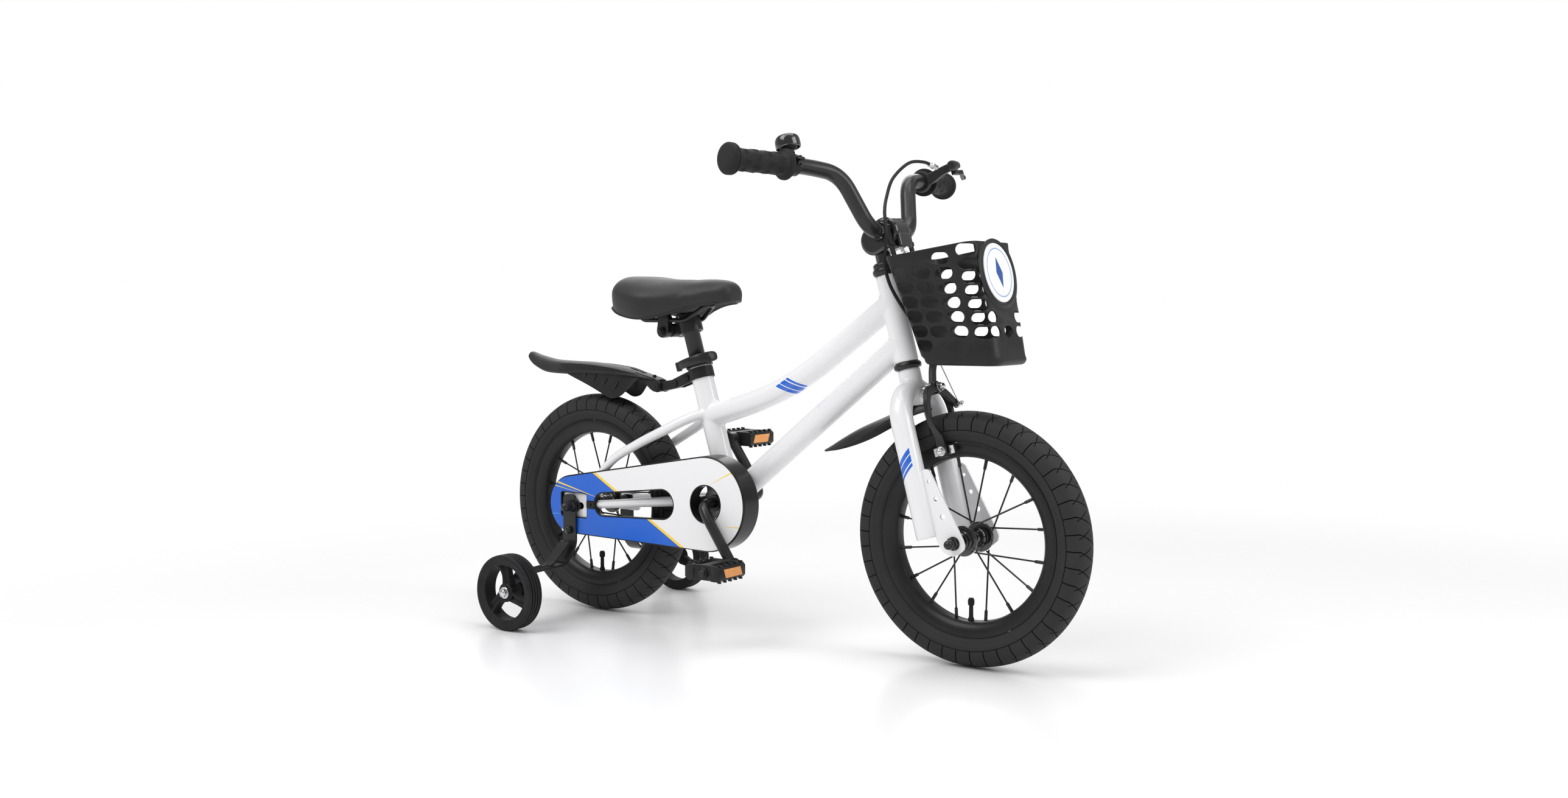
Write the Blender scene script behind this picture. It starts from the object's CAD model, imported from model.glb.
import math

import bpy
from mathutils import Matrix, Vector


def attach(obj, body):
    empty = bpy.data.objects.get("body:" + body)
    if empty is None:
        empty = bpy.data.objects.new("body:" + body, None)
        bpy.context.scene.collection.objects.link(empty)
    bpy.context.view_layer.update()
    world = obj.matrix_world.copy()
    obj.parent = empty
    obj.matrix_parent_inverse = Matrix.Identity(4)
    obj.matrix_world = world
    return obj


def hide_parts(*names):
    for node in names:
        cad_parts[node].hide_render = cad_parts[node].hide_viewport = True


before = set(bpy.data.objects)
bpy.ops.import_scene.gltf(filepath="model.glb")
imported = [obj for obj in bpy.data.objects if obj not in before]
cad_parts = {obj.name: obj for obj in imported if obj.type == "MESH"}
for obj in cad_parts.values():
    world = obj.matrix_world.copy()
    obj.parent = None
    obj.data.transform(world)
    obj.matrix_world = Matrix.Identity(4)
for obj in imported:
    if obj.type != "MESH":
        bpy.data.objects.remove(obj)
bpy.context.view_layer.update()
print("frame loaded")

# pieces are shaped in millimetres in the part's own steering, seat or bar frame, then set in place in metres
metres = Matrix.Scale(0.001, 4)
groundFrame = Matrix.Identity(4)
layout = {
    "headBase": (576.98, 0, 410.94),
    "headLean": 15,
    "crank": (267, 0, 198.5),
    "seatLean": 17,
    "rearAxle": (0, 0, 176),
    "frontAxle": (680, 0, 176),
    "basketFloor": (633, 0, 415),
    "barTip": (-28, 279, 289),
    "barInner": (0, 140, 279.5),
}
steerFrame = Matrix.Translation(layout["headBase"]) @ Matrix.Rotation(-math.radians(layout["headLean"]), 4, "Y")
seatFrame = Matrix.Translation(layout["crank"]) @ Matrix.Rotation(-math.radians(layout["seatLean"]), 4, "Y")
basketFrame = Matrix.Translation(layout["basketFloor"])
crankX, _, crankZ = layout["crank"]
axleZ = layout["rearAxle"][2]
bothSides = ((-1, "right"), (1, "left"))


# the frame of a bar end: origin at the bar's tip, y pointing outward along the bar
def barEndFrame(side):
    tip = Vector(layout["barTip"])
    along = tip - Vector(layout["barInner"])
    tip.y *= side
    along.y *= side
    turn = Vector((0, side, 0)).rotation_difference(along)
    return steerFrame @ Matrix.Translation(tip) @ turn.to_matrix().to_4x4()


def objectMode():
    if bpy.context.object and bpy.context.object.mode != "OBJECT":
        bpy.ops.object.mode_set(mode="OBJECT")


def only(piece):
    objectMode()
    bpy.ops.object.select_all(action="DESELECT")
    piece.select_set(True)
    bpy.context.view_layer.objects.active = piece


def clearAll():
    objectMode()
    bpy.ops.object.select_all(action="DESELECT")


def selectAll():
    bpy.ops.mesh.select_all(action="SELECT")


def removed(*pieces):
    for piece in pieces:
        bpy.data.objects.remove(piece)


def moved(x, y, z):
    return Matrix.Translation((x, y, z))


# the turn that lays a piece standing on z along another way
def pointing(way):
    return Vector((0, 0, 1)).rotation_difference(Vector(way)).to_matrix().to_4x4()


# the turn that lays a piece standing on z out to one side of the bike
def outTo(side):
    return Matrix.Rotation(-side * math.pi / 2, 4, "X")


crossways = Matrix.Rotation(math.pi / 2, 4, "Z")


def editAll(piece):
    only(piece)
    bpy.ops.object.mode_set(mode="EDIT")
    selectAll()


def applied(piece, kind, **settings):
    only(piece)
    modifier = piece.modifiers.new(kind.title(), kind)
    for key, value in settings.items():
        setattr(modifier, key, value)
    bpy.ops.object.modifier_apply(modifier=modifier.name)
    return piece


def setBy(piece, matrix):
    only(piece)
    piece.matrix_world = matrix
    bpy.ops.object.transform_apply(location=True, rotation=True, scale=True)
    return piece


def joined(pieces):
    only(pieces[0])
    for other in pieces[1:]:
        other.select_set(True)
    if len(pieces) > 1:
        bpy.ops.object.join()
    return pieces[0]


def copied(piece, matrix=None):
    only(piece)
    bpy.ops.object.duplicate(linked=False)
    other = bpy.context.object
    if matrix is not None:
        setBy(other, matrix)
    return other


def tidied(piece, gap=0.001):
    editAll(piece)
    bpy.ops.mesh.remove_doubles(threshold=gap)
    selectAll()
    bpy.ops.mesh.normals_make_consistent(inside=False)
    objectMode()
    return piece


# a run of points, each pushed out of the last from one merged corner
def run(points, closed=True):
    clearAll()
    bpy.ops.mesh.primitive_plane_add(size=1, location=(0, 0, 0))
    piece = bpy.context.object
    bpy.ops.object.mode_set(mode="EDIT")
    selectAll()
    bpy.ops.mesh.merge(type="CENTER")
    bpy.ops.transform.translate(value=Vector(points[0]))
    ring = list(points) + ([points[0]] if closed else [])
    for last, here in zip(ring, ring[1:]):
        bpy.ops.mesh.extrude_region_move(TRANSFORM_OT_translate={"value": Vector(here) - Vector(last)})
    selectAll()
    bpy.ops.mesh.remove_doubles(threshold=0.0005)
    selectAll()
    return piece


# a closed profile of (radius, height) pairs spun about the z axis, then laid along an axis through a centre
def lathe(profile, steps=48, centre=(0, 0, 0), axis=(0, 0, 1), closed=True):
    piece = run([(radius, 0, height) for radius, height in profile], closed)
    bpy.ops.mesh.spin(steps=steps, angle=2 * math.pi, center=(0, 0, 0), axis=(0, 0, 1))
    objectMode()
    tidied(piece)
    turn = pointing(axis)
    return setBy(piece, Matrix.Translation(centre) @ turn)


# the same about the y axis, as wheels and rings on a bar need
def wheelLathe(profile, steps=48):
    return lathe(profile, steps, axis=(0, 1, 0))


# a plain ring, or a disc where the inner radius is next to nothing
def flatRing(inner, outer, low, high, steps=32, centre=(0, 0, 0), axis=(0, 0, 1)):
    return lathe([(inner, low), (outer, low), (outer, high), (inner, high)], steps, centre, axis)


# a flat outline of (x, z) pairs given a thickness along y
def prism(points, start, end):
    piece = run([(x, start, z) for x, z in points])
    bpy.ops.mesh.edge_face_add()
    selectAll()
    bpy.ops.mesh.extrude_region_move(TRANSFORM_OT_translate={"value": (0, end - start, 0)})
    selectAll()
    bpy.ops.mesh.normals_make_consistent(inside=False)
    objectMode()
    return piece


def rod(start, end, radius, endRadius=None, sides=24):
    start, end = Vector(start), Vector(end)
    clearAll()
    bpy.ops.mesh.primitive_cone_add(
        vertices=sides, radius1=radius, radius2=radius if endRadius is None else endRadius,
        depth=(end - start).length)
    piece = bpy.context.object
    turn = pointing(end - start)
    return setBy(piece, Matrix.Translation((start + end) / 2) @ turn)


def block(size, centre, turn=None):
    clearAll()
    bpy.ops.mesh.primitive_cube_add(size=1)
    piece = bpy.context.object
    return setBy(piece, Matrix.Translation(centre) @ (turn or Matrix.Identity(4)) @ Matrix.Diagonal((*size, 1)))


# straight runs through corners, each corner rounded off over the given reach
def rounded(corners, reach, steps=10):
    corners = [Vector(c) for c in corners]
    path = [corners[0]]
    last = corners[0]
    for i in range(1, len(corners) - 1):
        corner = corners[i]
        before, after = last - corner, corners[i + 1] - corner
        start = corner + before.normalized() * min(reach, before.length)
        end = corner + after.normalized() * min(reach, after.length / 2)
        for k in range(steps + 1):
            t = k / steps
            path.append(start.lerp(corner, t).lerp(corner.lerp(end, t), t))
        last = end
    path.append(corners[-1])
    kept = [path[0]]
    for spot in path[1:]:
        if (spot - kept[-1]).length > 0.05:
            kept.append(spot)
    return kept


# a smooth run through points
def smoothRun(points, steps=6):
    points = [Vector(p) for p in points]
    path = []
    for i in range(len(points) - 1):
        p0, p3 = points[max(i - 1, 0)], points[min(i + 2, len(points) - 1)]
        p1, p2 = points[i], points[i + 1]
        for k in range(steps):
            t = k / steps
            path.append(0.5 * ((2 * p1) + (p2 - p0) * t + (2 * p0 - 5 * p1 + 4 * p2 - p3) * t * t
                               + (3 * p1 - p0 - 3 * p2 + p3) * t * t * t))
    path.append(points[-1])
    return path


# a round tube along a path, its radius running evenly to endRadius
def tube(path, radius, endRadius=None, sides=32):
    clearAll()
    bpy.ops.curve.primitive_bezier_curve_add()
    curve = bpy.context.object
    curve.data.splines.clear()
    spline = curve.data.splines.new("POLY")
    spline.points.add(len(path) - 1)
    for i, spot in enumerate(path):
        spline.points[i].co = (*spot, 1)
        spline.points[i].radius = 1 + ((endRadius or radius) / radius - 1) * i / (len(path) - 1)
    curve.data.dimensions = "3D"
    curve.data.bevel_depth = radius
    curve.data.bevel_resolution = (sides - 4) // 2
    curve.data.use_fill_caps = True
    bpy.ops.object.convert(target="MESH")
    return tidied(bpy.context.object)


def arc(cx, cz, radius, start, end, count):
    return [(cx + radius * math.cos(math.radians(start + (end - start) * i / count)),
             cz + radius * math.sin(math.radians(start + (end - start) * i / count))) for i in range(count + 1)]


# the outline round two circles with their outer tangents
def strap(x1, z1, r1, x2, z2, r2, count=16):
    along = math.degrees(math.atan2(z2 - z1, x2 - x1))
    spread = math.degrees(math.acos((r1 - r2) / math.hypot(x2 - x1, z2 - z1)))
    return arc(x1, z1, r1, along + spread, along - spread + 360, count) + arc(
        x2, z2, r2, along - spread, along + spread, count)


def roundedBox(left, right, bottom, top, corner, count=4):
    return (arc(right - corner, bottom + corner, corner, -90, 0, count)
            + arc(right - corner, top - corner, corner, 0, 90, count)
            + arc(left + corner, top - corner, corner, 90, 180, count)
            + arc(left + corner, bottom + corner, corner, 180, 270, count))


def cutBy(piece, *tools):
    tool = joined(list(tools))
    only(piece)
    applied(piece, "BOOLEAN", operation="DIFFERENCE", object=tool, solver="EXACT")
    removed(tool)
    return piece


def softened(piece, width, segments=2, angle=35):
    only(piece)
    bpy.ops.object.shade_smooth()
    return applied(piece, "BEVEL", width=width, segments=segments, limit_method="ANGLE",
                   angle_limit=math.radians(angle), harden_normals=True, use_clamp_overlap=True)


def painted(piece, material):
    piece.data.materials.clear()
    piece.data.materials.append(material)
    return piece


# puts a finished piece in place, on its body and in its material slot, instead of its CAD nodes
def finished(piece, name, body, nodes=(), place=groundFrame, material=None, smooth=35):
    if material is not None:
        painted(piece, material)
    setBy(piece, metres @ place)
    piece.name = name
    piece.data.name = name
    if smooth:
        only(piece)
        bpy.ops.object.shade_smooth_by_angle(angle=math.radians(smooth))
    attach(piece, body)
    if nodes:
        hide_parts(*nodes)
    return piece


# a socket that does sums: each operator adds one Math node
class Wire:
    def __init__(self, board, socket):
        self.board = board
        self.socket = socket

    def __add__(self, other):
        return self.board.math("ADD", self, other)

    def __radd__(self, other):
        return self.board.math("ADD", other, self)

    def __sub__(self, other):
        return self.board.math("SUBTRACT", self, other)

    def __rsub__(self, other):
        return self.board.math("SUBTRACT", other, self)

    def __mul__(self, other):
        return self.board.math("MULTIPLY", self, other)

    def __rmul__(self, other):
        return self.board.math("MULTIPLY", other, self)

    def __truediv__(self, other):
        return self.board.math("DIVIDE", self, other)

    def __gt__(self, other):
        return self.board.math("GREATER_THAN", self, other)

    def __lt__(self, other):
        return self.board.math("LESS_THAN", self, other)

    def __abs__(self):
        return self.board.math("ABSOLUTE", self)


# one material: every other node comes from add or wire
class Board:
    def __init__(self, name):
        self.material = bpy.data.materials.new(name)
        self.material.use_nodes = True
        self.tree = self.material.node_tree
        self.shader = self.tree.nodes["Principled BSDF"]

    def add(self, kind, settings=None, inputs=None):
        node = self.tree.nodes.new(kind)
        for key, value in (settings or {}).items():
            if key == "stops":
                ramp = node.color_ramp
                while len(ramp.elements) < len(value):
                    ramp.elements.new(0.5)
                for element, (position, colour) in zip(ramp.elements, value):
                    element.position = position
                    element.color = (*colour, 1)
            else:
                setattr(node, key, value)
        for key, value in (inputs or {}).items():
            if isinstance(value, Wire):
                self.tree.links.new(value.socket, node.inputs[key])
            else:
                node.inputs[key].default_value = value
        return node

    def wire(self, kind, settings=None, inputs=None, output=0):
        return Wire(self, self.add(kind, settings, inputs).outputs[output])

    def math(self, operation, first, second=None):
        inputs = {0: first}
        if second is not None:
            inputs[1] = second
        return self.wire("ShaderNodeMath", {"operation": operation}, inputs)

    def place(self, centre=(0, 0, 0), turn=(0, 0, 0)):
        where = self.wire("ShaderNodeTexCoord", output="Object")
        back = Matrix.Translation(centre) @ Matrix.Rotation(turn[2], 4, "Z") @ Matrix.Rotation(
            turn[1], 4, "Y") @ Matrix.Rotation(turn[0], 4, "X")
        ahead = back.inverted()
        return self.wire("ShaderNodeMapping", {"vector_type": "POINT"}, {
            "Vector": where, "Location": ahead.to_translation(), "Rotation": ahead.to_euler()})

    def split(self, vector):
        node = self.add("ShaderNodeSeparateXYZ", inputs={0: vector})
        return [Wire(self, node.outputs[i]) for i in range(3)]

    def noise(self, where, scale, detail=2, rough=0.5):
        return self.wire("ShaderNodeTexNoise", inputs={
            "Vector": where, "Scale": scale, "Detail": detail, "Roughness": rough}, output="Fac")

    def cells(self, where, scale, feature="F1", output="Distance"):
        return self.wire("ShaderNodeTexVoronoi", {"feature": feature}, {"Vector": where, "Scale": scale}, output)

    def smooth(self, value, low, high):
        return self.wire("ShaderNodeMapRange", {"interpolation_type": "SMOOTHSTEP"}, {
            "Value": value, "From Min": low, "From Max": high})

    def mix(self, mask, first, second):
        inputs = {0: mask}
        inputs[6] = first if isinstance(first, Wire) else (*first, 1)
        inputs[7] = second if isinstance(second, Wire) else (*second, 1)
        return self.wire("ShaderNodeMix", {"data_type": "RGBA"}, inputs, output=2)

    def feed(self, name, value):
        socket = self.shader.inputs[name]
        if isinstance(value, Wire):
            self.tree.links.new(value.socket, socket)
        elif isinstance(value, tuple) and len(value) == 3:
            socket.default_value = (*value, 1)
        else:
            socket.default_value = value

    def bump(self, height, distance, strength=1.0):
        node = self.add("ShaderNodeBump", inputs={
            "Height": height, "Distance": distance, "Strength": strength})
        self.feed("Normal", Wire(self, node.outputs[0]))


# cloudy colour and roughness with a fine grain on top
def coated(name, look):
    board = Board(name)
    where = board.place()
    cloud = board.noise(where, look["cloudScale"], 4, 0.6)
    grain = board.noise(where, look["grainScale"], 2)
    board.feed("Base Color", board.mix(board.smooth(cloud, 0.3, 0.7), look["dark"], look["light"]))
    board.feed("Roughness", cloud * look["roughSpread"] + (look["rough"] - look["roughSpread"] / 2))
    board.feed("Metallic", look.get("metal", 0.0))
    board.feed("Coat Weight", look.get("coat", 0.0))
    board.feed("Coat Roughness", look.get("coatRough", 0.08))
    board.feed("Specular IOR Level", look.get("specular", 0.5))
    board.bump(grain, look["grainDepth"])
    return board.material


looks = {
    "steelBlack": {"dark": (0.010, 0.010, 0.011), "light": (0.016, 0.016, 0.017), "rough": 0.32, "roughSpread": 0.1,
                   "cloudScale": 30, "grainScale": 1400, "grainDepth": 0.00002, "coat": 0.2, "coatRough": 0.2,
                   "specular": 0.3},
    "plasticBlack": {"dark": (0.014, 0.014, 0.015), "light": (0.021, 0.021, 0.022), "rough": 0.42,
                     "roughSpread": 0.12, "cloudScale": 24, "grainScale": 2200, "grainDepth": 0.00005,
                     "specular": 0.22},
    "guardBlack": {"dark": (0.010, 0.010, 0.011), "light": (0.015, 0.015, 0.016), "rough": 0.24,
                   "roughSpread": 0.08, "cloudScale": 18, "grainScale": 1500, "grainDepth": 0.00002,
                   "specular": 0.28},
    "glossBlack": {"dark": (0.006, 0.006, 0.007), "light": (0.009, 0.009, 0.010), "rough": 0.16,
                   "roughSpread": 0.06,
                   "cloudScale": 20, "grainScale": 600, "grainDepth": 0.00001, "coat": 0.6, "coatRough": 0.06},
    "rubberBlack": {"dark": (0.012, 0.012, 0.013), "light": (0.020, 0.020, 0.021), "rough": 0.62,
                    "roughSpread": 0.14, "cloudScale": 40, "grainScale": 2600, "grainDepth": 0.00008,
                    "specular": 0.2},
    "rimBlack": {"dark": (0.010, 0.010, 0.011), "light": (0.015, 0.015, 0.016), "rough": 0.36,
                 "roughSpread": 0.1, "cloudScale": 16, "grainScale": 1800, "grainDepth": 0.00003, "specular": 0.25},
    "chrome": {"dark": (0.62, 0.62, 0.63), "light": (0.74, 0.74, 0.75), "rough": 0.16, "roughSpread": 0.12,
               "cloudScale": 90, "grainScale": 900, "grainDepth": 0.00002, "metal": 1.0},
    "alloy": {"dark": (0.42, 0.42, 0.43), "light": (0.56, 0.56, 0.57), "rough": 0.34, "roughSpread": 0.16,
              "cloudScale": 120, "grainScale": 1600, "grainDepth": 0.00004, "metal": 1.0},
    "chainSteel": {"dark": (0.08, 0.075, 0.07), "light": (0.17, 0.16, 0.15), "rough": 0.38, "roughSpread": 0.2,
                   "cloudScale": 150, "grainScale": 1200, "grainDepth": 0.00003, "metal": 1.0},
}
steelBlack = coated("satinBlackPaint", looks["steelBlack"])
plasticBlack = coated("mouldedBlackPlastic", looks["plasticBlack"])
guardBlack = coated("glossyGuardPlastic", looks["guardBlack"])
glossBlack = coated("glossBlackPaint", looks["glossBlack"])
rubberBlack = coated("softBlackRubber", looks["rubberBlack"])
rimBlack = coated("rimBlackPaint", looks["rimBlack"])
chrome = coated("brightChrome", looks["chrome"])
alloy = coated("satinAlloy", looks["alloy"])
chainSteel = coated("oiledChainSteel", looks["chainSteel"])

paintColours = {
    "white": (0.83, 0.83, 0.84),
    "shade": (0.78, 0.78, 0.80),
    "blue": (0.008, 0.118, 0.60),
    "yellow": (0.92, 0.62, 0.05),
    "sky": (0.05, 0.42, 0.80),
}


# gloss white with slanted blue bars at each decal place
def whitePaint(name, decals):
    board = Board(name)
    where = board.place()
    cloud = board.noise(where, 9, 3)
    colour = board.mix(cloud, paintColours["shade"], paintColours["white"])
    for decal in decals:
        x, y, z = board.split(board.place(decal["centre"], decal["turn"]))
        mask = None
        for shift, width in decal["bars"]:
            lean = abs(x - z * decal["slant"] - shift) < width / 2
            mask = lean if mask is None else board.math("MAXIMUM", mask, lean)
        mask = mask * (abs(z) < decal["half"]) * (y * decal["side"] > decal["beyond"])
        colour = board.mix(mask, colour, paintColours["blue"])
    board.feed("Base Color", colour)
    board.feed("Roughness", cloud * 0.08 + 0.2)
    board.feed("Coat Weight", 0.5)
    board.feed("Coat Roughness", 0.05)
    board.bump(board.noise(where, 220, 2), 0.00003)
    return board.material


bars = [(-0.0085, 0.0075), (0.0015, 0.0095), (0.0105, 0.0045)]
framePaint = whitePaint("glossWhiteFrame", [
    {"centre": (0.386, 0, 0.377), "turn": (0, -math.radians(33), 0), "side": side, "beyond": 0, "half": 0.0125,
     "slant": -0.7, "bars": bars} for side in (-1, 1)])
forkPaint = whitePaint("glossWhiteFork", [
    {"centre": (0.6105, 0, 0.2785), "turn": (0, math.radians(75), 0), "side": side, "beyond": 0.048, "half": 0.011,
     "slant": -0.9, "bars": bars} for side in (-1, 1)])

guardPrint = {
    "edge": [(0.0388, 0.2322), (0.2079, 0.1351)],
    "stripe": 0.0042,
    "rays": [
        {"from": (-0.046, 0.2145), "to": (0.046, 0.1937), "thick": 0.0030, "thin": 0.0004, "colour": "yellow"},
        {"from": (-0.050, 0.2075), "to": (0.020, 0.1965), "thick": 0.0014, "thin": 0.0002, "colour": "yellow"},
        {"from": (-0.052, 0.1600), "to": (-0.026, 0.1611), "thick": 0.0013, "thin": 0.0003, "colour": "sky"},
        {"from": (0.3250, 0.2530), "to": (0.2753, 0.2286), "thick": 0.0026, "thin": 0.0002, "colour": "yellow"},
        {"from": (0.3330, 0.1688), "to": (0.3022, 0.1674), "thick": 0.0018, "thin": 0.0002, "colour": "yellow"},
    ],
}


# how far each point lies along a line from start to end and off to its left, and the length of the line
def fromLine(x, z, start, end):
    (x1, z1), (x2, z2) = start, end
    long = math.hypot(x2 - x1, z2 - z1)
    ahead, rise = (x2 - x1) / long, (z2 - z1) / long
    return (x - x1) * ahead + (z - z1) * rise, (x - x1) * -rise + (z - z1) * ahead, long


def panelPrint():
    board = Board("printedGuardPanel")
    where = board.place()
    x, _, z = board.split(where)
    past = fromLine(x, z, *guardPrint["edge"])[1]
    colour = board.mix(past < 0, paintColours["white"], paintColours["blue"])
    stripe = abs(past - guardPrint["stripe"] / 2) < guardPrint["stripe"] / 2
    colour = board.mix(stripe, colour, paintColours["yellow"])
    for ray in guardPrint["rays"]:
        along, off, long = fromLine(x, z, ray["from"], ray["to"])
        half = along * ((ray["thin"] - ray["thick"]) / long / 2) + ray["thick"] / 2
        mask = (abs(off) < half) * (along > 0) * (along < long)
        colour = board.mix(mask, colour, paintColours[ray["colour"]])
    board.feed("Base Color", colour)
    board.feed("Roughness", board.noise(where, 14, 3) * 0.08 + 0.26)
    board.bump(board.noise(where, 900, 2), 0.00002)
    return board.material


# white print with a thin blue ring and a tall blue rhombus
def badgePrint(centre, lean):
    board = Board("printedBadge")
    _, y, z = board.split(board.place(centre, (0, lean, 0)))
    radius = board.math("SQRT", y * y + z * z)
    ring = abs(radius - 0.0330) < 0.0009
    rhombus = abs(y + z * 0.18) * 2.4 + abs(z) < 0.0215
    colour = board.mix(ring, (0.86, 0.86, 0.87), (0.30, 0.42, 0.66))
    colour = board.mix(rhombus, colour, (0.010, 0.075, 0.31))
    board.feed("Base Color", colour)
    board.feed("Roughness", board.noise(board.place(), 20, 3) * 0.08 + 0.24)
    board.feed("Coat Weight", 0.3)
    board.bump(board.noise(board.place(), 700, 2), 0.00002)
    return board.material


# the tread: its pitches round the tyre, where the slanted grooves start to lean, groove width and depth in
# millimetres, and where the rubber turns dark in metres
tyre = {"steps": 144, "pitches": 46, "slantFrom": 19, "innerTo": 19.5, "groove": 1.3, "deep": 1.5, "lowest": 151.5,
        "darkFrom": 0.1513, "seam": 0.1509, "edges": (0.02, 0.048)}


# tyre rubber, darker down in the tread grooves, which it finds from the turn round the axle and the place across
def tyreRubber(name, axle):
    board = Board(name)
    where = board.place(axle)
    x, y, z = board.split(where)
    radius = board.math("SQRT", x * x + z * z)
    turn = board.math("ARCTAN2", z, x) * (tyre["pitches"] / (2 * math.pi)) + 100.5
    side = board.math("SIGN", y)
    fall = board.math("MAXIMUM", 1 - abs(y) / (tyre["slantFrom"] / 1000), 0) * 0.5
    outer = board.smooth(abs(board.math("FRACT", turn - side * fall) - 0.5), *tyre["edges"])
    inner = board.smooth(abs(board.math("FRACT", turn - side * (0.25 - fall)) - 0.5), *tyre["edges"])
    lines = board.math("MINIMUM", outer, board.math("MAXIMUM", inner, abs(y) > tyre["innerTo"] / 1000))
    lines = board.math("MAXIMUM", lines, radius < tyre["darkFrom"])
    lines = board.math("MINIMUM", lines, board.smooth(abs(radius - tyre["seam"]), 0, 0.0009))
    cloud = board.noise(where, 26, 4)
    colour = board.mix(cloud, (0.024, 0.024, 0.025), (0.036, 0.036, 0.037))
    board.feed("Base Color", board.mix(lines, (0.0015, 0.0015, 0.0015), colour))
    board.feed("Roughness", cloud * 0.14 + 0.55)
    board.feed("Specular IOR Level", 0.14)
    board.bump(board.noise(where, 2400, 2), 0.00008)
    return board.material


# black vinyl: close leather grain, a softer sheen on the crown
def saddleVinyl():
    board = Board("blackSaddleVinyl")
    where = board.place()
    cells = board.cells(where, 900)
    cloud = board.noise(where, 18, 4)
    fine = board.noise(where, 1800, 3)
    board.feed("Base Color", board.mix(cloud, (0.014, 0.014, 0.015), (0.022, 0.022, 0.023)))
    board.feed("Roughness", cloud * 0.12 + 0.42)
    board.feed("Sheen Weight", 0.05)
    board.feed("Specular IOR Level", 0.3)
    board.bump(cells * 0.7 + fine * 0.3, 0.00012)
    return board.material


# moulded amber reflector with a small prism grid
def amberLens():
    board = Board("amberReflector")
    where = board.place()
    _, y, z = board.split(where)
    grid = abs(board.math("FRACT", y * 500 + 10.0) - 0.5) + abs(board.math("FRACT", z * 500 + 10.0) - 0.5)
    glow = board.noise(where, 300, 2)
    board.feed("Base Color", board.mix(board.smooth(grid + glow * 0.3, 0.2, 1.1), (0.62, 0.17, 0.012),
                                       (1.0, 0.42, 0.05)))
    board.feed("Roughness", glow * 0.1 + 0.12)
    board.feed("Coat Weight", 0.8)
    board.bump(grid, 0.0004)
    return board.material


guardPanelPrint = panelPrint()
vinyl = saddleVinyl()
amber = amberLens()
print("materials made")


# the camera stands where the photograph's stood, found from the two wheels
view = {"place": (1.6484, -1.8102, 0.4975), "turn": 54.655, "dip": 3.635, "focal": 2460.6, "width": 2576}
turn, dip = math.radians(view["turn"]), math.radians(view["dip"])
look = Vector((-math.cos(turn) * math.cos(dip), math.sin(turn) * math.cos(dip), -math.sin(dip)))
clearAll()
bpy.ops.object.camera_add(location=view["place"], rotation=look.to_track_quat("-Z", "Y").to_euler())
camera = bpy.context.object
camera.data.sensor_width = 36
camera.data.lens = view["focal"] / view["width"] * 36
bpy.context.scene.camera = camera

lamps = [
    {"name": "key", "place": (-0.6, -2.2, 3.0), "size": 2.2, "power": 74},
    {"name": "side", "place": (3.0, 0.4, 1.9), "size": 1.8, "power": 42},
    {"name": "back", "place": (-1.6, 2.4, 2.3), "size": 2.4, "power": 38},
    {"name": "top", "place": (0.5, 0.2, 3.4), "size": 2.6, "power": 52},
]
for lamp in lamps:
    aim = Vector((0.35, 0, 0.3)) - Vector(lamp["place"])
    bpy.ops.object.light_add(type="AREA", location=lamp["place"], rotation=aim.to_track_quat("-Z", "Y").to_euler())
    light = bpy.context.object
    light.name = lamp["name"] + "Lamp"
    light.data.size = lamp["size"]
    light.data.energy = lamp["power"]

bpy.context.scene.view_settings.view_transform = "Standard"
world = bpy.data.worlds.new("studio")
bpy.context.scene.world = world
world.use_nodes = True
nodes = world.node_tree.nodes
sky = nodes["Background"]
sky.inputs["Color"].default_value = (1, 1, 1, 1)
path = nodes.new("ShaderNodeLightPath")
strength = nodes.new("ShaderNodeMapRange")
strength.inputs["To Min"].default_value = 0.42
strength.inputs["To Max"].default_value = 1.0
world.node_tree.links.new(path.outputs["Is Camera Ray"], strength.inputs["Value"])
world.node_tree.links.new(strength.outputs[0], sky.inputs["Strength"])

floorLook = {"size": 30, "near": 0.75, "far": 1.9, "colour": (0.86, 0.86, 0.87), "rough": 0.22}
clearAll()
bpy.ops.mesh.primitive_circle_add(vertices=96, radius=floorLook["size"], fill_type="NGON",
                                  location=(0.35, 0, -0.0004))
floor = bpy.context.object
floor.name = "studioFloor"
board = Board("paleFloor")
x, y, z = board.split(board.place((0.35, 0, 0)))
away = board.smooth(board.math("SQRT", x * x + y * y), floorLook["near"], floorLook["far"])
board.feed("Base Color", floorLook["colour"])
board.feed("Roughness", board.noise(board.place(), 3, 2) * 0.04 + floorLook["rough"])
glow = board.add("ShaderNodeEmission", inputs={"Color": (1, 1, 1, 1), "Strength": 1.0})
blend = board.add("ShaderNodeMixShader", inputs={0: away})
board.tree.links.new(board.shader.outputs[0], blend.inputs[1])
board.tree.links.new(glow.outputs[0], blend.inputs[2])
board.tree.links.new(blend.outputs[0], board.tree.nodes["Material Output"].inputs["Surface"])
painted(floor, board.material)
print("camera, light and floor set")


# rings of as many points each, bridged into one shell with its ends filled
def loft(rings):
    made = []
    for ring in rings:
        made.append(run(ring))
        objectMode()
    piece = joined(made)
    editAll(piece)
    bpy.ops.mesh.bridge_edge_loops()
    selectAll()
    bpy.ops.mesh.fill_holes(sides=0)
    objectMode()
    return tidied(piece, 0.0001)


# half of the tyre's section as (radius, half width) pairs, with the raised line above the rim
tyreHalf = [(134.3, 15.7), (136.6, 18.4), (140.5, 20.9), (141.5, 21.0), (142.3, 21.8), (148, 23.5), (150.2, 23.8),
            (150.9, 23.1), (151.6, 23.9), (154, 24), (158.4, 23.9), (160.6, 23.5), (164.2, 22.2), (167.6, 20.1),
            (170.4, 17.2), (172.7, 13.6), (174.4, 9.6), (175.5, 5.2), (176, 1.6)]


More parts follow.
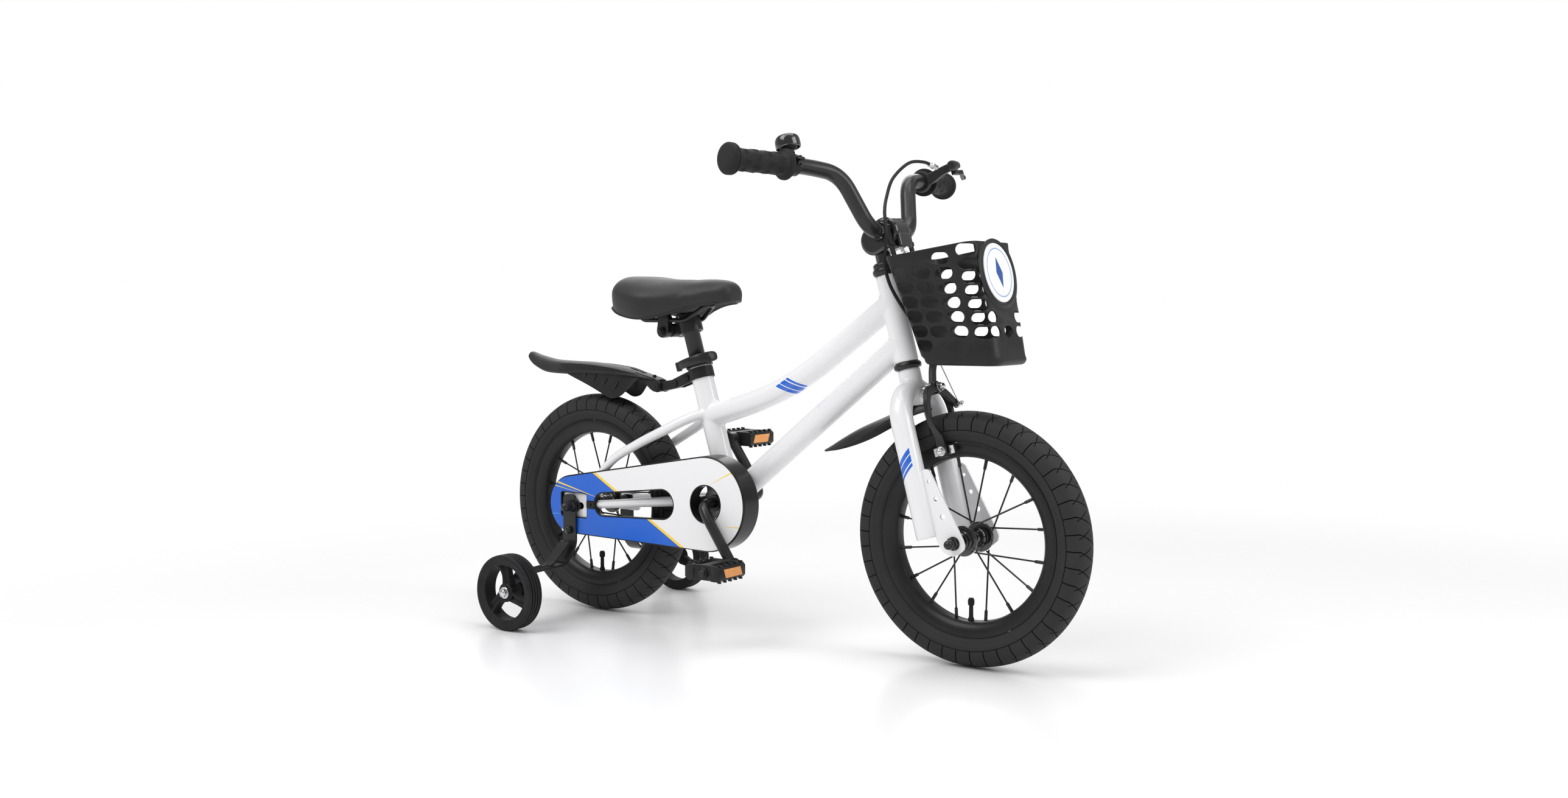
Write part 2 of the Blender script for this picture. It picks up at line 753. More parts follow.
# one groove from the shoulder to the crown, swept over the tyre's section and slanted towards the crown
def grooveTool(side, slanted):
    section = [(r, y) for r, y in tyreHalf if r >= tyre["lowest"]] + [(176, 0.9)]
    if not slanted:
        section = [(r, y) for r, y in section if 2 < y < tyre["innerTo"]]
    rings = []
    for i, (r, y) in enumerate(section):
        before, after = Vector(section[max(i - 1, 0)]), Vector(section[min(i + 1, len(section) - 1)])
        way = (after - before).normalized()
        out = Vector((-way.y, way.x))
        turn = 0.5 * max(0, 1 - y / tyre["slantFrom"]) * (1 if slanted else -1) + (0 if slanted else 0.25)
        angle = turn * side * 2 * math.pi / tyre["pitches"]
        ring = []
        for depth, share in ((2, 1), (2, -1), (-tyre["deep"], -1), (-tyre["deep"], 1)):
            spot = Vector((r, y)) + out * depth
            a = angle + share * (tyre["groove"] / 2 / r)
            ring.append((spot.x * math.cos(a), side * spot.y, spot.x * math.sin(a)))
        rings.append(ring)
    return loft(rings)


def tyrePiece():
    profile = [(r, -y) for r, y in tyreHalf] + [(r, y) for r, y in reversed(tyreHalf)]
    body = wheelLathe(profile, tyre["steps"])
    turns = [2 * math.pi * i / tyre["pitches"] for i in range(tyre["pitches"])]
    for slanted in (True, False):
        blades = []
        for side in (1, -1):
            blade = grooveTool(side, slanted)
            blades += [copied(blade, Matrix.Rotation(turn, 4, "Y")) for turn in turns]
            removed(blade)
        body = cutBy(body, *blades)
    return body


rimSize = {"steps": 128, "spokes": 16, "spokeLean": 28, "spoke": 1.25, "nipple": 2.3, "nippleLong": 9,
           "innerEnd": 22.0, "outerEnd": 115.4, "headAt": 19.3}
hubSize = {"flange": 21, "offset": 24, "barrel": 12, "bore": 5.4}


def rimPiece():
    half = [(113, 6.5), (113.9, 9.6), (117.2, 13.0), (121.5, 15.4), (126.5, 16.7), (133.2, 17), (134, 16.6),
            (134, 15.2), (128, 13.2), (124, 10), (121, 5)]
    profile = [(r, -y) for r, y in half] + [(r, y) for r, y in reversed(half)]
    return painted(wheelLathe(profile, rimSize["steps"]), rimBlack)


# a point at a turn round the y axis
def roundAxle(radius, angle, y):
    return Vector((radius * math.cos(angle), y, radius * math.sin(angle)))


def spokePieces():
    size, made = rimSize, []
    out = Vector((0, 1, 0))
    for i in range(size["spokes"]):
        at = (i + 0.5) / size["spokes"] * 2 * math.pi
        lean = math.radians(size["spokeLean"]) * (1 if i % 4 < 2 else -1)
        side = 1 if i % 2 == 0 else -1
        start = roundAxle(size["innerEnd"], at + lean, side * hubSize["offset"])
        end = roundAxle(size["outerEnd"], at, 0)
        along = (end - start).normalized()
        neck = end - along * 15.6
        foot = neck + along * size["nippleLong"]
        head = roundAxle(size["headAt"], at + lean * 1.1, side * (hubSize["offset"] + 1.7))
        made += [rod(start, neck, size["spoke"], sides=10),
                 rod(neck - along * 2, neck, size["spoke"], size["nipple"], sides=12),
                 rod(neck, foot, size["nipple"], sides=12),
                 rod(foot, end, size["nipple"], size["nipple"] * 1.25, sides=12),
                 rod(head - out * side * 3, head + out * side * 0.7, 1.6, 1.1, sides=10)]
    return [painted(one, steelBlack) for one in made]


def valvePieces():
    foot = -112.5
    made = [lathe([(0.01, foot), (4.4, foot), (4.2, foot + 2.5), (3.1, foot + 4.5), (2.9, foot + 19),
                   (2.6, foot + 19.5), (2.6, foot + 20.5), (4.0, foot + 20.5), (4.1, foot + 21.5),
                   (4.1, foot + 28.6), (3.4, foot + 30.6), (0.01, foot + 31)], 24)]
    for i in range(10):
        at = 2 * math.pi * i / 10
        made.append(block((0.7, 0.7, 6), (4.1 * math.cos(at), 4.1 * math.sin(at), foot + 25.2)))
    return [painted(one, rubberBlack) for one in made]


def hubPiece(half):
    profile = [(hubSize["bore"], -half), (10.6, -half), (hubSize["barrel"], -half + 1.2),
               (hubSize["barrel"], -27.4), (13.6, -25.8), (20.2, -25.6), (hubSize["flange"], -25),
               (hubSize["flange"], -23), (20.2, -22.4), (13.6, -22.2), (11, -19.6), (9.6, -14)]
    profile += [(r, -y) for r, y in reversed(profile)]
    body = wheelLathe(profile, 64)
    rings = [flatRing(9.9, 10.4, y - 0.5, y + 0.5, 48, axis=(0, 1, 0)) for y in (-8, 0, 8)]
    return painted(joined([body] + rings), glossBlack)


tyreCopy, rimParts = tyrePiece(), joined([rimPiece()] + spokePieces() + valvePieces())
for word, centre, half, body in (("rear", layout["rearAxle"], 33, "rear_wheel"),
                                 ("front", layout["frontAxle"], 34, "front_wheel")):
    at = Matrix.Translation(centre)
    rubber = tyreRubber(word + "TyreRubber", tuple(v / 1000 for v in centre))
    finished(copied(tyreCopy), word + "Tyre", body, [word + "_tyre"], at, rubber, 40)
    finished(copied(rimParts), word + "RimAndSpokes", body, [word + "_rim"], at, None, 40)
    finished(hubPiece(half), word + "Hub", body, [word + "_hub"], at, None, 40)
removed(tyreCopy, rimParts)
print("wheels made")


def hexagon(radius, height):
    angles = [math.radians(60 * i) for i in range(6)]
    nut = run([(radius * math.cos(a), radius * math.sin(a), 0) for a in angles])
    bpy.ops.mesh.edge_face_add()
    selectAll()
    bpy.ops.mesh.extrude_region_move(TRANSFORM_OT_translate={"value": (0, 0, height)})
    objectMode()
    tidied(nut)
    return softened(nut, radius * 0.07, 2)


# nuts with domed caps on both ends of an axle
def axlePieces(face, radius):
    made = []
    capShape = [(0.74, 0), (0.74, 1.35), (0.68, 1.75), (0.5, 2.02), (0.25, 2.15)]
    for side in (1, -1):
        cap = lathe([(0.01, 0)] + [(radius * r, radius * up) for r, up in capShape] + [(0.01, radius * 2.18)], 32)
        parts = [hexagon(radius, radius * 0.8), flatRing(0.01, radius * 1.05, -0.1, 0.9, 36), cap]
        made.append(setBy(joined(parts), moved(0, side * (face + 0.3), 0) @ outTo(side)))
    made.append(rod((0, -face - 2, 0), (0, face + 2, 0), 5))
    return painted(joined(made), steelBlack)


finished(axlePieces(51.6, 9), "frontAxleAndNuts", "steering", ["front_axle"],
         Matrix.Translation(layout["frontAxle"]))
finished(axlePieces(70.5, 10), "rearAxleAndNuts", "frame", ["rear_axle"],
         Matrix.Translation(layout["rearAxle"]))


frameSize = {"head": 17, "seat": 17, "main": 18, "shell": 26, "stay": 9, "stayEnd": 6.4, "voxel": 1.9, "rounds": 8,
             "plate": (58, 62), "slot": (0, 12, 5.4)}
stays = [[(227, 8, 330), (205, 24, 323), (167, 40, 303), (117, 50, 278), (67, 54, 248), (12, 54, 188)],
         [(253, 18, 198.5), (207, 29, 195.5), (137, 44, 189.5), (77, 54, 183.5), (23, 54, 178.5)]]


def headPoint(up):
    return steerFrame @ Vector((0, 0, up))


def seatPoint(up):
    return seatFrame @ Vector((0, 0, up))


# tubes melted into one skin, so that their joints read as welds
def weldedTubes(made, voxel, rounds):
    tubes = joined(made)
    applied(tubes, "REMESH", mode="VOXEL", voxel_size=voxel, use_smooth_shade=True)
    return applied(tubes, "SMOOTH", factor=0.5, iterations=rounds)


def framePiece():
    size = frameSize
    topTube = rounded([seatPoint(133), (375.3, 0, 371), headPoint(92)], 80, 14)
    made = [
        rod(headPoint(4.6), headPoint(131.4), size["head"], sides=48),
        rod(seatPoint(0), seatPoint(225.5), size["seat"], sides=48),
        rod(seatPoint(0), headPoint(32), size["main"], sides=48),
        rod((crankX, -34, crankZ), (crankX, 34, crankZ), size["shell"], sides=56),
        tube(topTube, size["main"], sides=48),
    ]
    for points in stays:
        for side in (1, -1):
            path = smoothRun([(x, side * y, z) for x, y, z in points], 8)
            made.append(tube(path, size["stay"], size["stayEnd"], 28))
    made = [weldedTubes(made, size["voxel"], size["rounds"])]
    first, last, half = size["slot"]
    for side in (1, -1):
        start, end = sorted(side * y for y in size["plate"])
        slot = prism(strap(first, axleZ, half, last, axleZ, half, 10), start - 4, end + 4)
        made.append(softened(cutBy(prism(roundedBox(-24.3, 29.7, 156, 196, 5), start, end), slot), 0.7, 2))
    return joined(made)


finished(framePiece(), "weldedFrame", "frame", ["frame"], material=framePaint, smooth=50)
print("frame made")


headset = [
    ("lowerHeadsetCup", "frame", "headset_cup_lower",
     [(13.3, -4.8), (17.6, -4.8), (18.8, -3.8), (19.6, -2.0), (19.6, 1.2), (18.6, 3.0), (17.4, 4.4), (13.3, 4.4)]),
    ("upperHeadsetCup", "frame", "headset_cup_upper",
     [(13.3, 131.8), (17.4, 131.8), (18.9, 133.4), (19.6, 135.4), (19.6, 138.4), (18.4, 140.6), (13.3, 140.8)]),
    ("headsetLockNut", "steering", "headset_lock_nut",
     [(13.3, 141.1), (16.6, 141.1), (17.2, 142), (17.2, 146.6), (15.8, 148.9), (13.6, 150.1), (13.3, 150.1)]),
]
for name, body, node, profile in headset:
    finished(lathe(profile, 56), name, body, [node], steerFrame, steelBlack)
for side, word in bothSides:
    cup = lathe([(8.4, 25.2), (21, 25.2), (21, 34.3), (24.4, 34.3), (24.8, 35.0), (24.8, 35.8), (24, 36.5),
                 (12, 36.5), (11, 35.6), (8.4, 35.6)], 56)
    notches = [block((3.4, 6, 6), (0, 0, 0), Matrix.Rotation(2 * math.pi * i / 8, 4, "Z") @ moved(22.2, 0, 37))
               for i in range(8)]
    cup = cutBy(cup, *notches)
    finished(cup, "bottomBracketCup" + word, "frame", ["bracket_cup_" + word],
             Matrix.Translation(layout["crank"]) @ outTo(side), steelBlack)


forkSize = {"leg": 16, "steerer": 12.7, "spread": 48, "foot": -240, "plate": 3.6, "voxel": 1.6, "rounds": 5}
forkPlate = [(0, -164), (6, -158), (14, -149.5), (19, -147.4), (24, -148.6), (27.2, -152.5), (29, -158), (50, -236),
             (51.7, -243), (54, -252), (54.5, -259), (52, -264.5), (47.4, -267), (40, -270), (34, -270.6),
             (27, -268), (20, -262), (15.5, -252), (14, -240), (0, -240)]
forkHoles = [(21.9, -164.9, 2.5), (26.6, -190.2, 3.1), (31.4, -215.6, 3.9), (38.7, -253.6, 5.4)]


def forkPiece():
    size = forkSize
    made = [rod((0, 0, -58), (0, 0, -5.2), size["leg"], sides=48),
            rod((0, 0, -58), (0, 0, 141), size["steerer"], sides=40)]
    for side in (1, -1):
        y = side * size["spread"]
        leg = rounded([(0, 0, -30), (0, y, -52.5), (0, y, size["foot"])], 30, 14)
        made.append(tube(leg, size["leg"], sides=48))
    made = [weldedTubes(made, size["voxel"], size["rounds"])]
    for side in (1, -1):
        start, end = sorted((side * size["spread"], side * (size["spread"] + size["plate"])))
        tools = [rod((x, start - 5, z), (x, end + 5, z), r, sides=28) for x, z, r in forkHoles]
        made.append(softened(cutBy(prism(forkPlate, start, end), *tools), 0.6, 2))
    return joined(made)


finished(forkPiece(), "steelFork", "steering", ["fork"], steerFrame, forkPaint, 45)
print("fork made")


barSize = {"radius": 11.1, "centre": (20, 0, 187), "reach": 26,
           "half": [(20, 52, 187), (14.5, 90, 268), (0, 140, 279.5), (-28, 279, 289)]}


def stemPiece():
    shape = strap(0, 181, 21, 20, 187, 22, 20)
    head = softened(prism(shape, -20, 20), 5, 4)
    quill = rod((0, 0, 90), (0, 0, 178), 11.1, sides=40)
    lip = softened(block((15.4, 32, 22), (34.3, 0, 171.6)), 3.5, 3)
    return cutBy(joined([head, quill, lip]), rod((20, -40, 187), (20, 40, 187), 11.5, sides=40))


finished(stemPiece(), "gooseneckStem", "steering", ["stem"], steerFrame, glossBlack, 40)
boltX = 20 + 22 * 0.72
bolt = joined([rod((boltX, 0, 168.5), (boltX, 0, 152.8), 3, sides=24),
               setBy(hexagon(6.2, 4.4), moved(boltX, 0, 155.4)),
               flatRing(0.01, 6.9, 159.8, 160.7, 32, (boltX, 0, 0))])
finished(bolt, "stemClampBolt", "steering", ["stem_bolt"], steerFrame, chrome)

barPath = [(x, -y, z) for x, y, z in reversed(barSize["half"])] + barSize["half"]
bar = tube(rounded(barPath, barSize["reach"], 16), barSize["radius"], sides=40)
finished(bar, "handlebarTube", "steering", ["handlebar"], steerFrame, steelBlack, 50)


gripSize = {"rows": 4, "round": 6, "firstRow": -22, "rowStep": 20.5, "dots": 5}
gripProfile = [(0.01, 0.4), (11.45, 0.4), (11.45, -100), (20.4, -100), (21, -99.4), (21, -97), (20.2, -96.2),
               (16.2, -94.6), (15.2, -92), (14.6, -86), (14.6, -14), (15.2, -10), (17.2, -7.2), (20.4, -6.2),
               (20.9, -5), (20.9, -3.4), (20, -2.9), (20, -2.1), (21, -1.4), (21, 0.6), (20.2, 1.8), (17.6, 3.2),
               (12, 3.9), (0.01, 4)]


# a grip: sleeve, two flanges, an end cap and rings of raised ovals with dots round them
def gripPiece(side):
    size = gripSize
    made = [wheelLathe(gripProfile, 56)]
    clearAll()
    bpy.ops.mesh.primitive_torus_add(major_radius=1, minor_radius=0.19, major_segments=20, minor_segments=6)
    oval = bpy.context.object
    for row in range(size["rows"]):
        for i in range(size["round"]):
            at = 2 * math.pi * (i + 0.5 * (row % 2)) / size["round"]
            y = size["firstRow"] - row * size["rowStep"]
            turn = Matrix.Rotation(at, 4, "Y")
            made.append(copied(oval, turn @ moved(0, y, 14.5) @ Matrix.Diagonal((3.0, 4.6, 3.2, 1))))
            made.append(copied(oval, turn @ moved(0, y, 14.45) @ Matrix.Diagonal((1.3, 2.3, 2.6, 1))))
            for k in range(size["dots"]):
                a = math.radians(-80 + 40 * k)
                bend = Matrix.Rotation(at + 5.6 * math.sin(a) / 14.6, 4, "Y")
                spot = bend @ Vector((0, y + 7.6 * math.cos(a), 14.5))
                made.append(rod(spot * 0.97, spot * 1.02, 0.9, 0.6, 8))
    removed(oval)
    return setBy(joined(made), Matrix.Diagonal((1, side, 1, 1)))


for side, word in bothSides:
    grip = tidied(gripPiece(side))
    finished(grip, word + "Grip", "steering", ["grip_" + word], barEndFrame(side), rubberBlack, 40)
print("stem, bar and grips made")


# centre, way ahead and two half sizes at each step along stations of (centre, half size, half size)
def stepsAlong(stations, steps):
    spots = smoothRun([(*centre, first, second) for centre, first, second in stations], steps)
    for i, spot in enumerate(spots):
        before, after = Vector(spots[max(i - 1, 0)][:3]), Vector(spots[min(i + 1, len(spots) - 1)][:3])
        yield Vector(spot[:3]), (after - before).normalized(), spot[3], spot[4]


# a flat bar along stations of (centre, half width, half depth), its depth along one axis
def beam(stations, steps=5, depthAxis=(1, 0, 0)):
    deepWay = Vector(depthAxis)
    rings = []
    for centre, way, half, deep in stepsAlong(stations, steps):
        wideWay = way.cross(deepWay).normalized() * half
        rings.append([centre + wideWay * a + deepWay * deep * b for a, b in ((-1, -1), (1, -1), (1, 1), (-1, 1))])
    return loft(rings)


# a flat outline of (y, z) pairs given a thickness along x
def crossPlate(points, start, end):
    return setBy(prism(points, -end, -start), crossways)


# a flat band of the given thickness along (a, b) points, as an outline
def bandOutline(path, thickness):
    path = [Vector((a, b)) for a, b in path]
    sides = ([], [])
    for i, spot in enumerate(path):
        way = (path[min(i + 1, len(path) - 1)] - path[max(i - 1, 0)]).normalized()
        out = Vector((-way.y, way.x)) * thickness / 2
        sides[0].append(tuple(spot + out))
        sides[1].append(tuple(spot - out))
    return sides[0] + sides[1][::-1]


# a round-headed cap: a dome of the given height on a disc
def dome(radius, height, centre, axis, foot=0.6):
    profile = [(0.01, -1), (radius, -1), (radius, foot * height * 0.3)]
    profile += [(radius * math.cos(math.radians(a)),
                 height * (foot * 0.3 + (1 - foot * 0.3) * math.sin(math.radians(a))))
                for a in (20, 40, 60, 75)]
    return lathe(profile + [(0.01, height)], 28, centre, axis)


saddleSize = {
    "rear": 60.0, "base": 470.0, "length": 216, "width": 150, "height": 73.4,
    "along": [0, 0.025, 0.11, 0.26, 0.4, 0.54, 0.68, 0.82, 0.93, 0.98, 1],
    "half": [0.3, 0.56, 0.86, 0.99, 1, 0.84, 0.6, 0.45, 0.37, 0.28, 0.16],
    "top": [0.68, 0.86, 0.98, 0.97, 0.9, 0.85, 0.84, 0.87, 0.85, 0.77, 0.66],
    "foot": [0.5, 0.34, 0.17, 0.05, 0.02, 0.1, 0.24, 0.33, 0.37, 0.39, 0.44],
    "hollow": [0, 0.06, 0.22, 0.38, 0.42, 0.34, 0.2, 0.12, 0.1, 0.05, 0],
    "swell": 3.2, "pressure": 4.0, "frames": 20,
}


def saddleRing(along, half, top, foot, hollow, count):
    size = saddleSize
    x = size["rear"] + along * size["length"]
    half *= size["width"] / 2
    crown = size["base"] + top * size["height"]
    low = size["base"] + foot * size["height"]
    flank = low + (crown - low) * 0.5
    dip = size["height"] * 0.07 * math.sin(math.pi * min(1, max(along, 0) / 0.6)) ** 2
    ring = []
    for j in range(count):
        share = math.sin((2 * j / (count - 1) - 1) * math.pi / 2)
        bow = max(0, 1 - abs(share) ** 2.5) ** 0.52
        crest = dip * (1 - math.cos(math.pi * min(1, abs(share) * 1.6))) * 0.5
        ring.append((x, half * share * (1 - 0.03 * bow), flank + (crown - flank) * bow - dip + crest))
    lift = hollow * size["height"]
    tuck = [(0.985, (flank - low) * 0.42), (0.915, 1.2), (0.83, 0), (0.7, lift)]
    ring += [(x, half * share, low + up) for share, up in tuck] + [(x, 0, low + lift * 1.1)]
    ring += [(x, -half * share, low + up) for share, up in tuck[::-1]]
    return ring


def saddleCushion():
    size = saddleSize
    shares = zip(size["along"], size["half"], size["top"], size["foot"], size["hollow"])
    pad = loft([saddleRing(*spot, 23) for spot in smoothRun(list(shares), 4)])
    return applied(pad, "SUBSURF", levels=1, render_levels=1)


# the cushion swells under pressure with its underside held, and no point may move past the swell
def puffed(pad):
    size = saddleSize
    scene = bpy.context.scene
    held = pad.vertex_groups.new(name="held")
    start = [vertex.co.copy() for vertex in pad.data.vertices]
    held.add([vertex.index for vertex in pad.data.vertices if vertex.normal.z < -0.25], 1.0, "REPLACE")
    setBy(pad, metres)
    only(pad)
    cloth = pad.modifiers.new("Cloth", "CLOTH")
    cloth.settings.quality = 6
    cloth.settings.use_pressure = True
    cloth.settings.uniform_pressure_force = size["pressure"]
    cloth.settings.effector_weights.gravity = 0
    cloth.settings.tension_stiffness = 30
    cloth.settings.compression_stiffness = 30
    cloth.settings.bending_stiffness = 4
    cloth.settings.vertex_group_mass = "held"
    cloth.point_cache.frame_start = 1
    cloth.point_cache.frame_end = size["frames"]
    for step in range(1, size["frames"] + 1):
        scene.frame_set(step)
    bpy.ops.object.modifier_apply(modifier=cloth.name)
    scene.frame_set(1)
    pad.vertex_groups.clear()
    setBy(pad, Matrix.Scale(1000, 4))
    for vertex, was in zip(pad.data.vertices, start):
        move = vertex.co - was
        if move.length > size["swell"]:
            vertex.co = was + move.normalized() * size["swell"]
    return pad


def saddlePiece():
    pad = saddleCushion()
    pad = puffed(pad)
    applied(pad, "SMOOTH", factor=0.5, iterations=3)
    applied(pad, "SUBSURF", levels=1, render_levels=1)
    return pad


cushion = finished(saddlePiece(), "saddleCushion", "seat", ["saddle_pad"], groundFrame, vinyl, 80)


# the thin lip of the plastic shell that shows along the cushion's lower edge
def saddleShell():
    size = saddleSize
    skin = [vertex.co * 1000 for vertex in cushion.data.vertices if vertex.co.y > 0]
    left = []
    for k in range(0, 32, 2):
        x = size["rear"] + 7 + (size["length"] - 11) * k / 32
        spot = max((co for co in skin if abs(co.x - x) < 3), key=lambda co: co.y * 0.55 - co.z)
        left.append((x, spot.y - 0.6, spot.z + 0.3))
    middle = [co for co in skin if co.y < 6]
    nose = max(middle, key=lambda co: co.x * 0.8 - co.z)
    tail = max(middle, key=lambda co: -co.x * 0.8 - co.z)
    right = [(x, -y, z) for x, y, z in reversed(left)]
    loop = left[4:] + [(nose.x - 0.8, 0, nose.z + 0.3)] + right + [(tail.x + 1.4, 0, tail.z + 0.3)] + left[:5]
    lip = tube(smoothRun(loop, 3), 1.7, sides=10)
    plate = []
    shares = list(zip(size["along"], size["half"], size["foot"], size["hollow"]))[2:-2]
    for along, half, foot, hollow in smoothRun(shares, 4):
        x = size["rear"] + along * size["length"]
        wide = half * size["width"] * 0.3
        top = size["base"] + (foot + hollow) * size["height"] - 0.5
        plate.append([(x, -wide, top - 3), (x, wide, top - 3), (x, wide, top), (x, -wide, top)])
    return joined([lip, softened(loft(plate), 0.8, 2)])


finished(saddleShell(), "saddleShell", "seat", ["saddle_base"], groundFrame, plasticBlack)


def saddleUnder(x):
    size = saddleSize
    share = (x - size["rear"]) / size["length"]
    i = next(k for k, place in enumerate(size["along"]) if place > share)
    part = (share - size["along"][i - 1]) / (size["along"][i] - size["along"][i - 1])
    height = [size["foot"][k] + size["hollow"][k] for k in (i - 1, i)]
    return size["base"] + size["height"] * (height[0] + (height[1] - height[0]) * part)


railSize = {"radius": 3.5, "spread": 21, "level": 472, "rear": 93.9, "nose": (231.9, 228.4)}


def railPiece():
    radius, spread, level = railSize["radius"], railSize["spread"], railSize["level"]
    rear = saddleUnder(railSize["rear"]) - 4.2 - radius
    nose = min(saddleUnder(x) - 4.2 for x in railSize["nose"]) - radius
    halves = [[(railSize["rear"], side * spread, rear), (107.9, side * spread, level),
               (193.9, side * spread, level), (223.9, side * spread * 0.45, nose)] for side in (-1, 1)]
    corners = halves[0] + [(railSize["nose"][0], 0, nose)] + halves[1][::-1]
    rail = tube(rounded(corners, 9, 8), radius, sides=20)
    ends = [rod((railSize["rear"], side * spread, rear), (88, side * spread, rear + 4), radius, radius * 0.8, 16)
            for side in (1, -1)]
    return joined([rail] + ends)


finished(railPiece(), "saddleRailPair", "seat", ["saddle_rails"], groundFrame, steelBlack, 50)


clampSize = {"bolt": (152, 456), "rail": (154, 474)}


def saddleClampPiece():
    (x, z), (topX, topZ) = clampSize["bolt"], clampSize["rail"]
    made = []

    def ear(low, high, y, half):
        return prism(strap(x, z, low, topX, topZ, high, 14), y - half, y + half)

    for side in (1, -1):
        y = side * 21
        cheek = softened(ear(11, 9.9, y, 6), 1.4, 3)
        groove = ear(12, 11, y, 0.4)
        made.append(cutBy(cheek, cutBy(groove, ear(9.8, 8.7, y, 1))))
        end = lathe([(0.01, 4.4), (3.6, 4.4), (3.6, 6.4), (3, 6.9), (0.01, 6.9)], 24)
        nut = joined([hexagon(6.5, 4.6), flatRing(0.01, 8.2, -0.2, 0.9), end])
        made.append(setBy(nut, moved(x, side * 27, z) @ outTo(side)))
    made.append(rod((x, -28, z), (x, 28, z), 4, sides=24))
    collar = lathe([(15.5, 266), (18.2, 266), (19.1, 266.9), (19.1, 289), (18.2, 290), (15.5, 290)], 56)
    made.append(setBy(collar, seatFrame))
    neck = softened(block((34, 24, 18), (169, 0, 458)), 3, 3)
    made.append(cutBy(neck, setBy(rod((0, 0, 240), (0, 0, 300), 17, sides=40), seatFrame)))
    made.append(softened(block((20, 29, 20), (x, 0, z)), 4, 3))
    return joined(made)


finished(saddleClampPiece(), "saddleClampAndCollar", "seat", ["saddle_clamp"], groundFrame,
         steelBlack)
post = lathe([(0.01, 105), (12, 105), (12.7, 106), (12.7, 266), (13.4, 267), (15.1, 268), (15.1, 295), (14.2, 296),
              (11.5, 296), (11.5, 280), (0.01, 280)], 56)
finished(post, "seatPostTube", "seat", ["seat_post"], seatFrame, steelBlack)


# the seat clamp: a split band with an eared gap, its skewer and nut
def seatBandPiece():
    ring = lathe([(17.35, 210.5), (20, 210.5), (21, 211.6), (21, 226.4), (20, 227.5), (17.35, 227.5)], 64)
    ears = [softened(block((14, 9.4, 14), (-23, side * 6, 219)), 2.4, 3) for side in (1, -1)]
    split = block((30, 2.2, 30), (-22, 0, 219))
    body = cutBy(joined([ring] + ears), split)
    body = cutBy(body, rod((0, 0, 205), (0, 0, 233), 17.35, sides=64))
    skewer = rod((-26, -13, 219), (-26, 16, 219), 3, sides=24)
    nut = lathe([(0.01, 0), (5.4, 0), (6, 0.7), (6, 5.2), (5.2, 6.4), (3.4, 7), (0.01, 7)], 28, (-26, 11, 219),
                (0, 1, 0))
    ribs = [block((0.9, 5, 0.9), (-26 + 6 * math.cos(a), 13.8, 219 + 6 * math.sin(a)), Matrix.Rotation(-a, 4, "Y"))
            for a in [2 * math.pi * i / 14 for i in range(14)]]
    return joined([body, skewer, nut] + ribs)


finished(seatBandPiece(), "seatClampBand", "frame", ["seat_band"], seatFrame, steelBlack)


# the release lever curls round the front of the band
def releaseLever():
    stations = [((-26, -18, 219), 6, 3.1), ((-14, -25, 219), 6.4, 2.8), ((4, -27.5, 219), 6.8, 2.5),
                ((20, -24, 219), 7.2, 2.5), ((31, -15, 219), 7.6, 2.2), ((34.4, -7, 219), 7.6, 2.0),
                ((35.6, -2, 219), 6.2, 1.9), ((36, 0.6, 219), 3.6, 1.6)]
    shape = ((-1, -0.8), (-0.7, -1), (0.7, -1), (1, -0.8), (1, 0.8), (0.7, 1), (-0.7, 1), (-1, 0.8))
    upright = Vector((0, 0, 1))
    rings = []
    for centre, way, tall, thick in stepsAlong(stations, 6):
        out = way.cross(upright) * thick
        rings.append([centre + out * a + upright * tall * b for a, b in shape])
    cam = lathe([(0.01, 212), (3.6, 212), (4.4, 213), (4.4, 225), (3.6, 226), (0.01, 226)], 32, (-26, -18, 0))
    return joined([softened(loft(rings), 0.6, 2), cam])


finished(releaseLever(), "seatReleaseLever", "seat_release_lever", ["seat_release_lever"], seatFrame,
         steelBlack, 45)
print("seat made")


# an arched blade over stations of (x, z, half width, drop)
def arch(stations, thickness, steps=5, count=16, power=2.6):
    rings = []
    for x, z, half, drop in smoothRun(stations, steps):
        half = max(half, 1)
        outer, inner = [], []
        for j in range(count + 1):
            share = 2 * j / count - 1
            fall = max(drop, 0.2) * abs(share) ** power
            shrink = 1 - thickness / max(half, thickness * 2) * abs(share) ** 3
            outer.append((x, half * share, z - fall))
            inner.append((x, half * share * shrink, z - fall - thickness))
        rings.append(outer + inner[::-1])
    return loft(rings)


frontFender = arch([(8, -58.3, 27, 7), (-24, -58.6, 27, 8), (-60, -63, 26, 12), (-95, -68, 24, 15),
                    (-125, -75, 21, 12), (-150, -82, 15, 6), (-163, -85, 8, 2)], 2)
frontFender = softened(frontFender, 0.5, 2, 50)
finished(frontFender, "frontMudguard", "steering", ["front_fender"], steerFrame, plasticBlack, 50)

# the (x, z) places of the two bolts that the rear mudguard tilts on
fenderPivots = {"second": (164.86, 374.1), "third": (127.86, 367.1)}


# a pin head with a hexagon rim and a cross slot
def crossHead(x, z, y, side, radius):
    head = hexagon(radius, 2.0)
    middle = lathe([(0.01, 1.6), (radius * 0.72, 1.6), (radius * 0.72, 2.4), (radius * 0.55, 3.0), (0.01, 3.1)], 28)
    for size in ((radius * 0.8, radius * 0.16, 2), (radius * 0.16, radius * 0.8, 2)):
        middle = cutBy(middle, block(size, (0, 0, 3.2)))
    head = joined([head, middle])
    return setBy(head, moved(x, side * y, z) @ outTo(side))


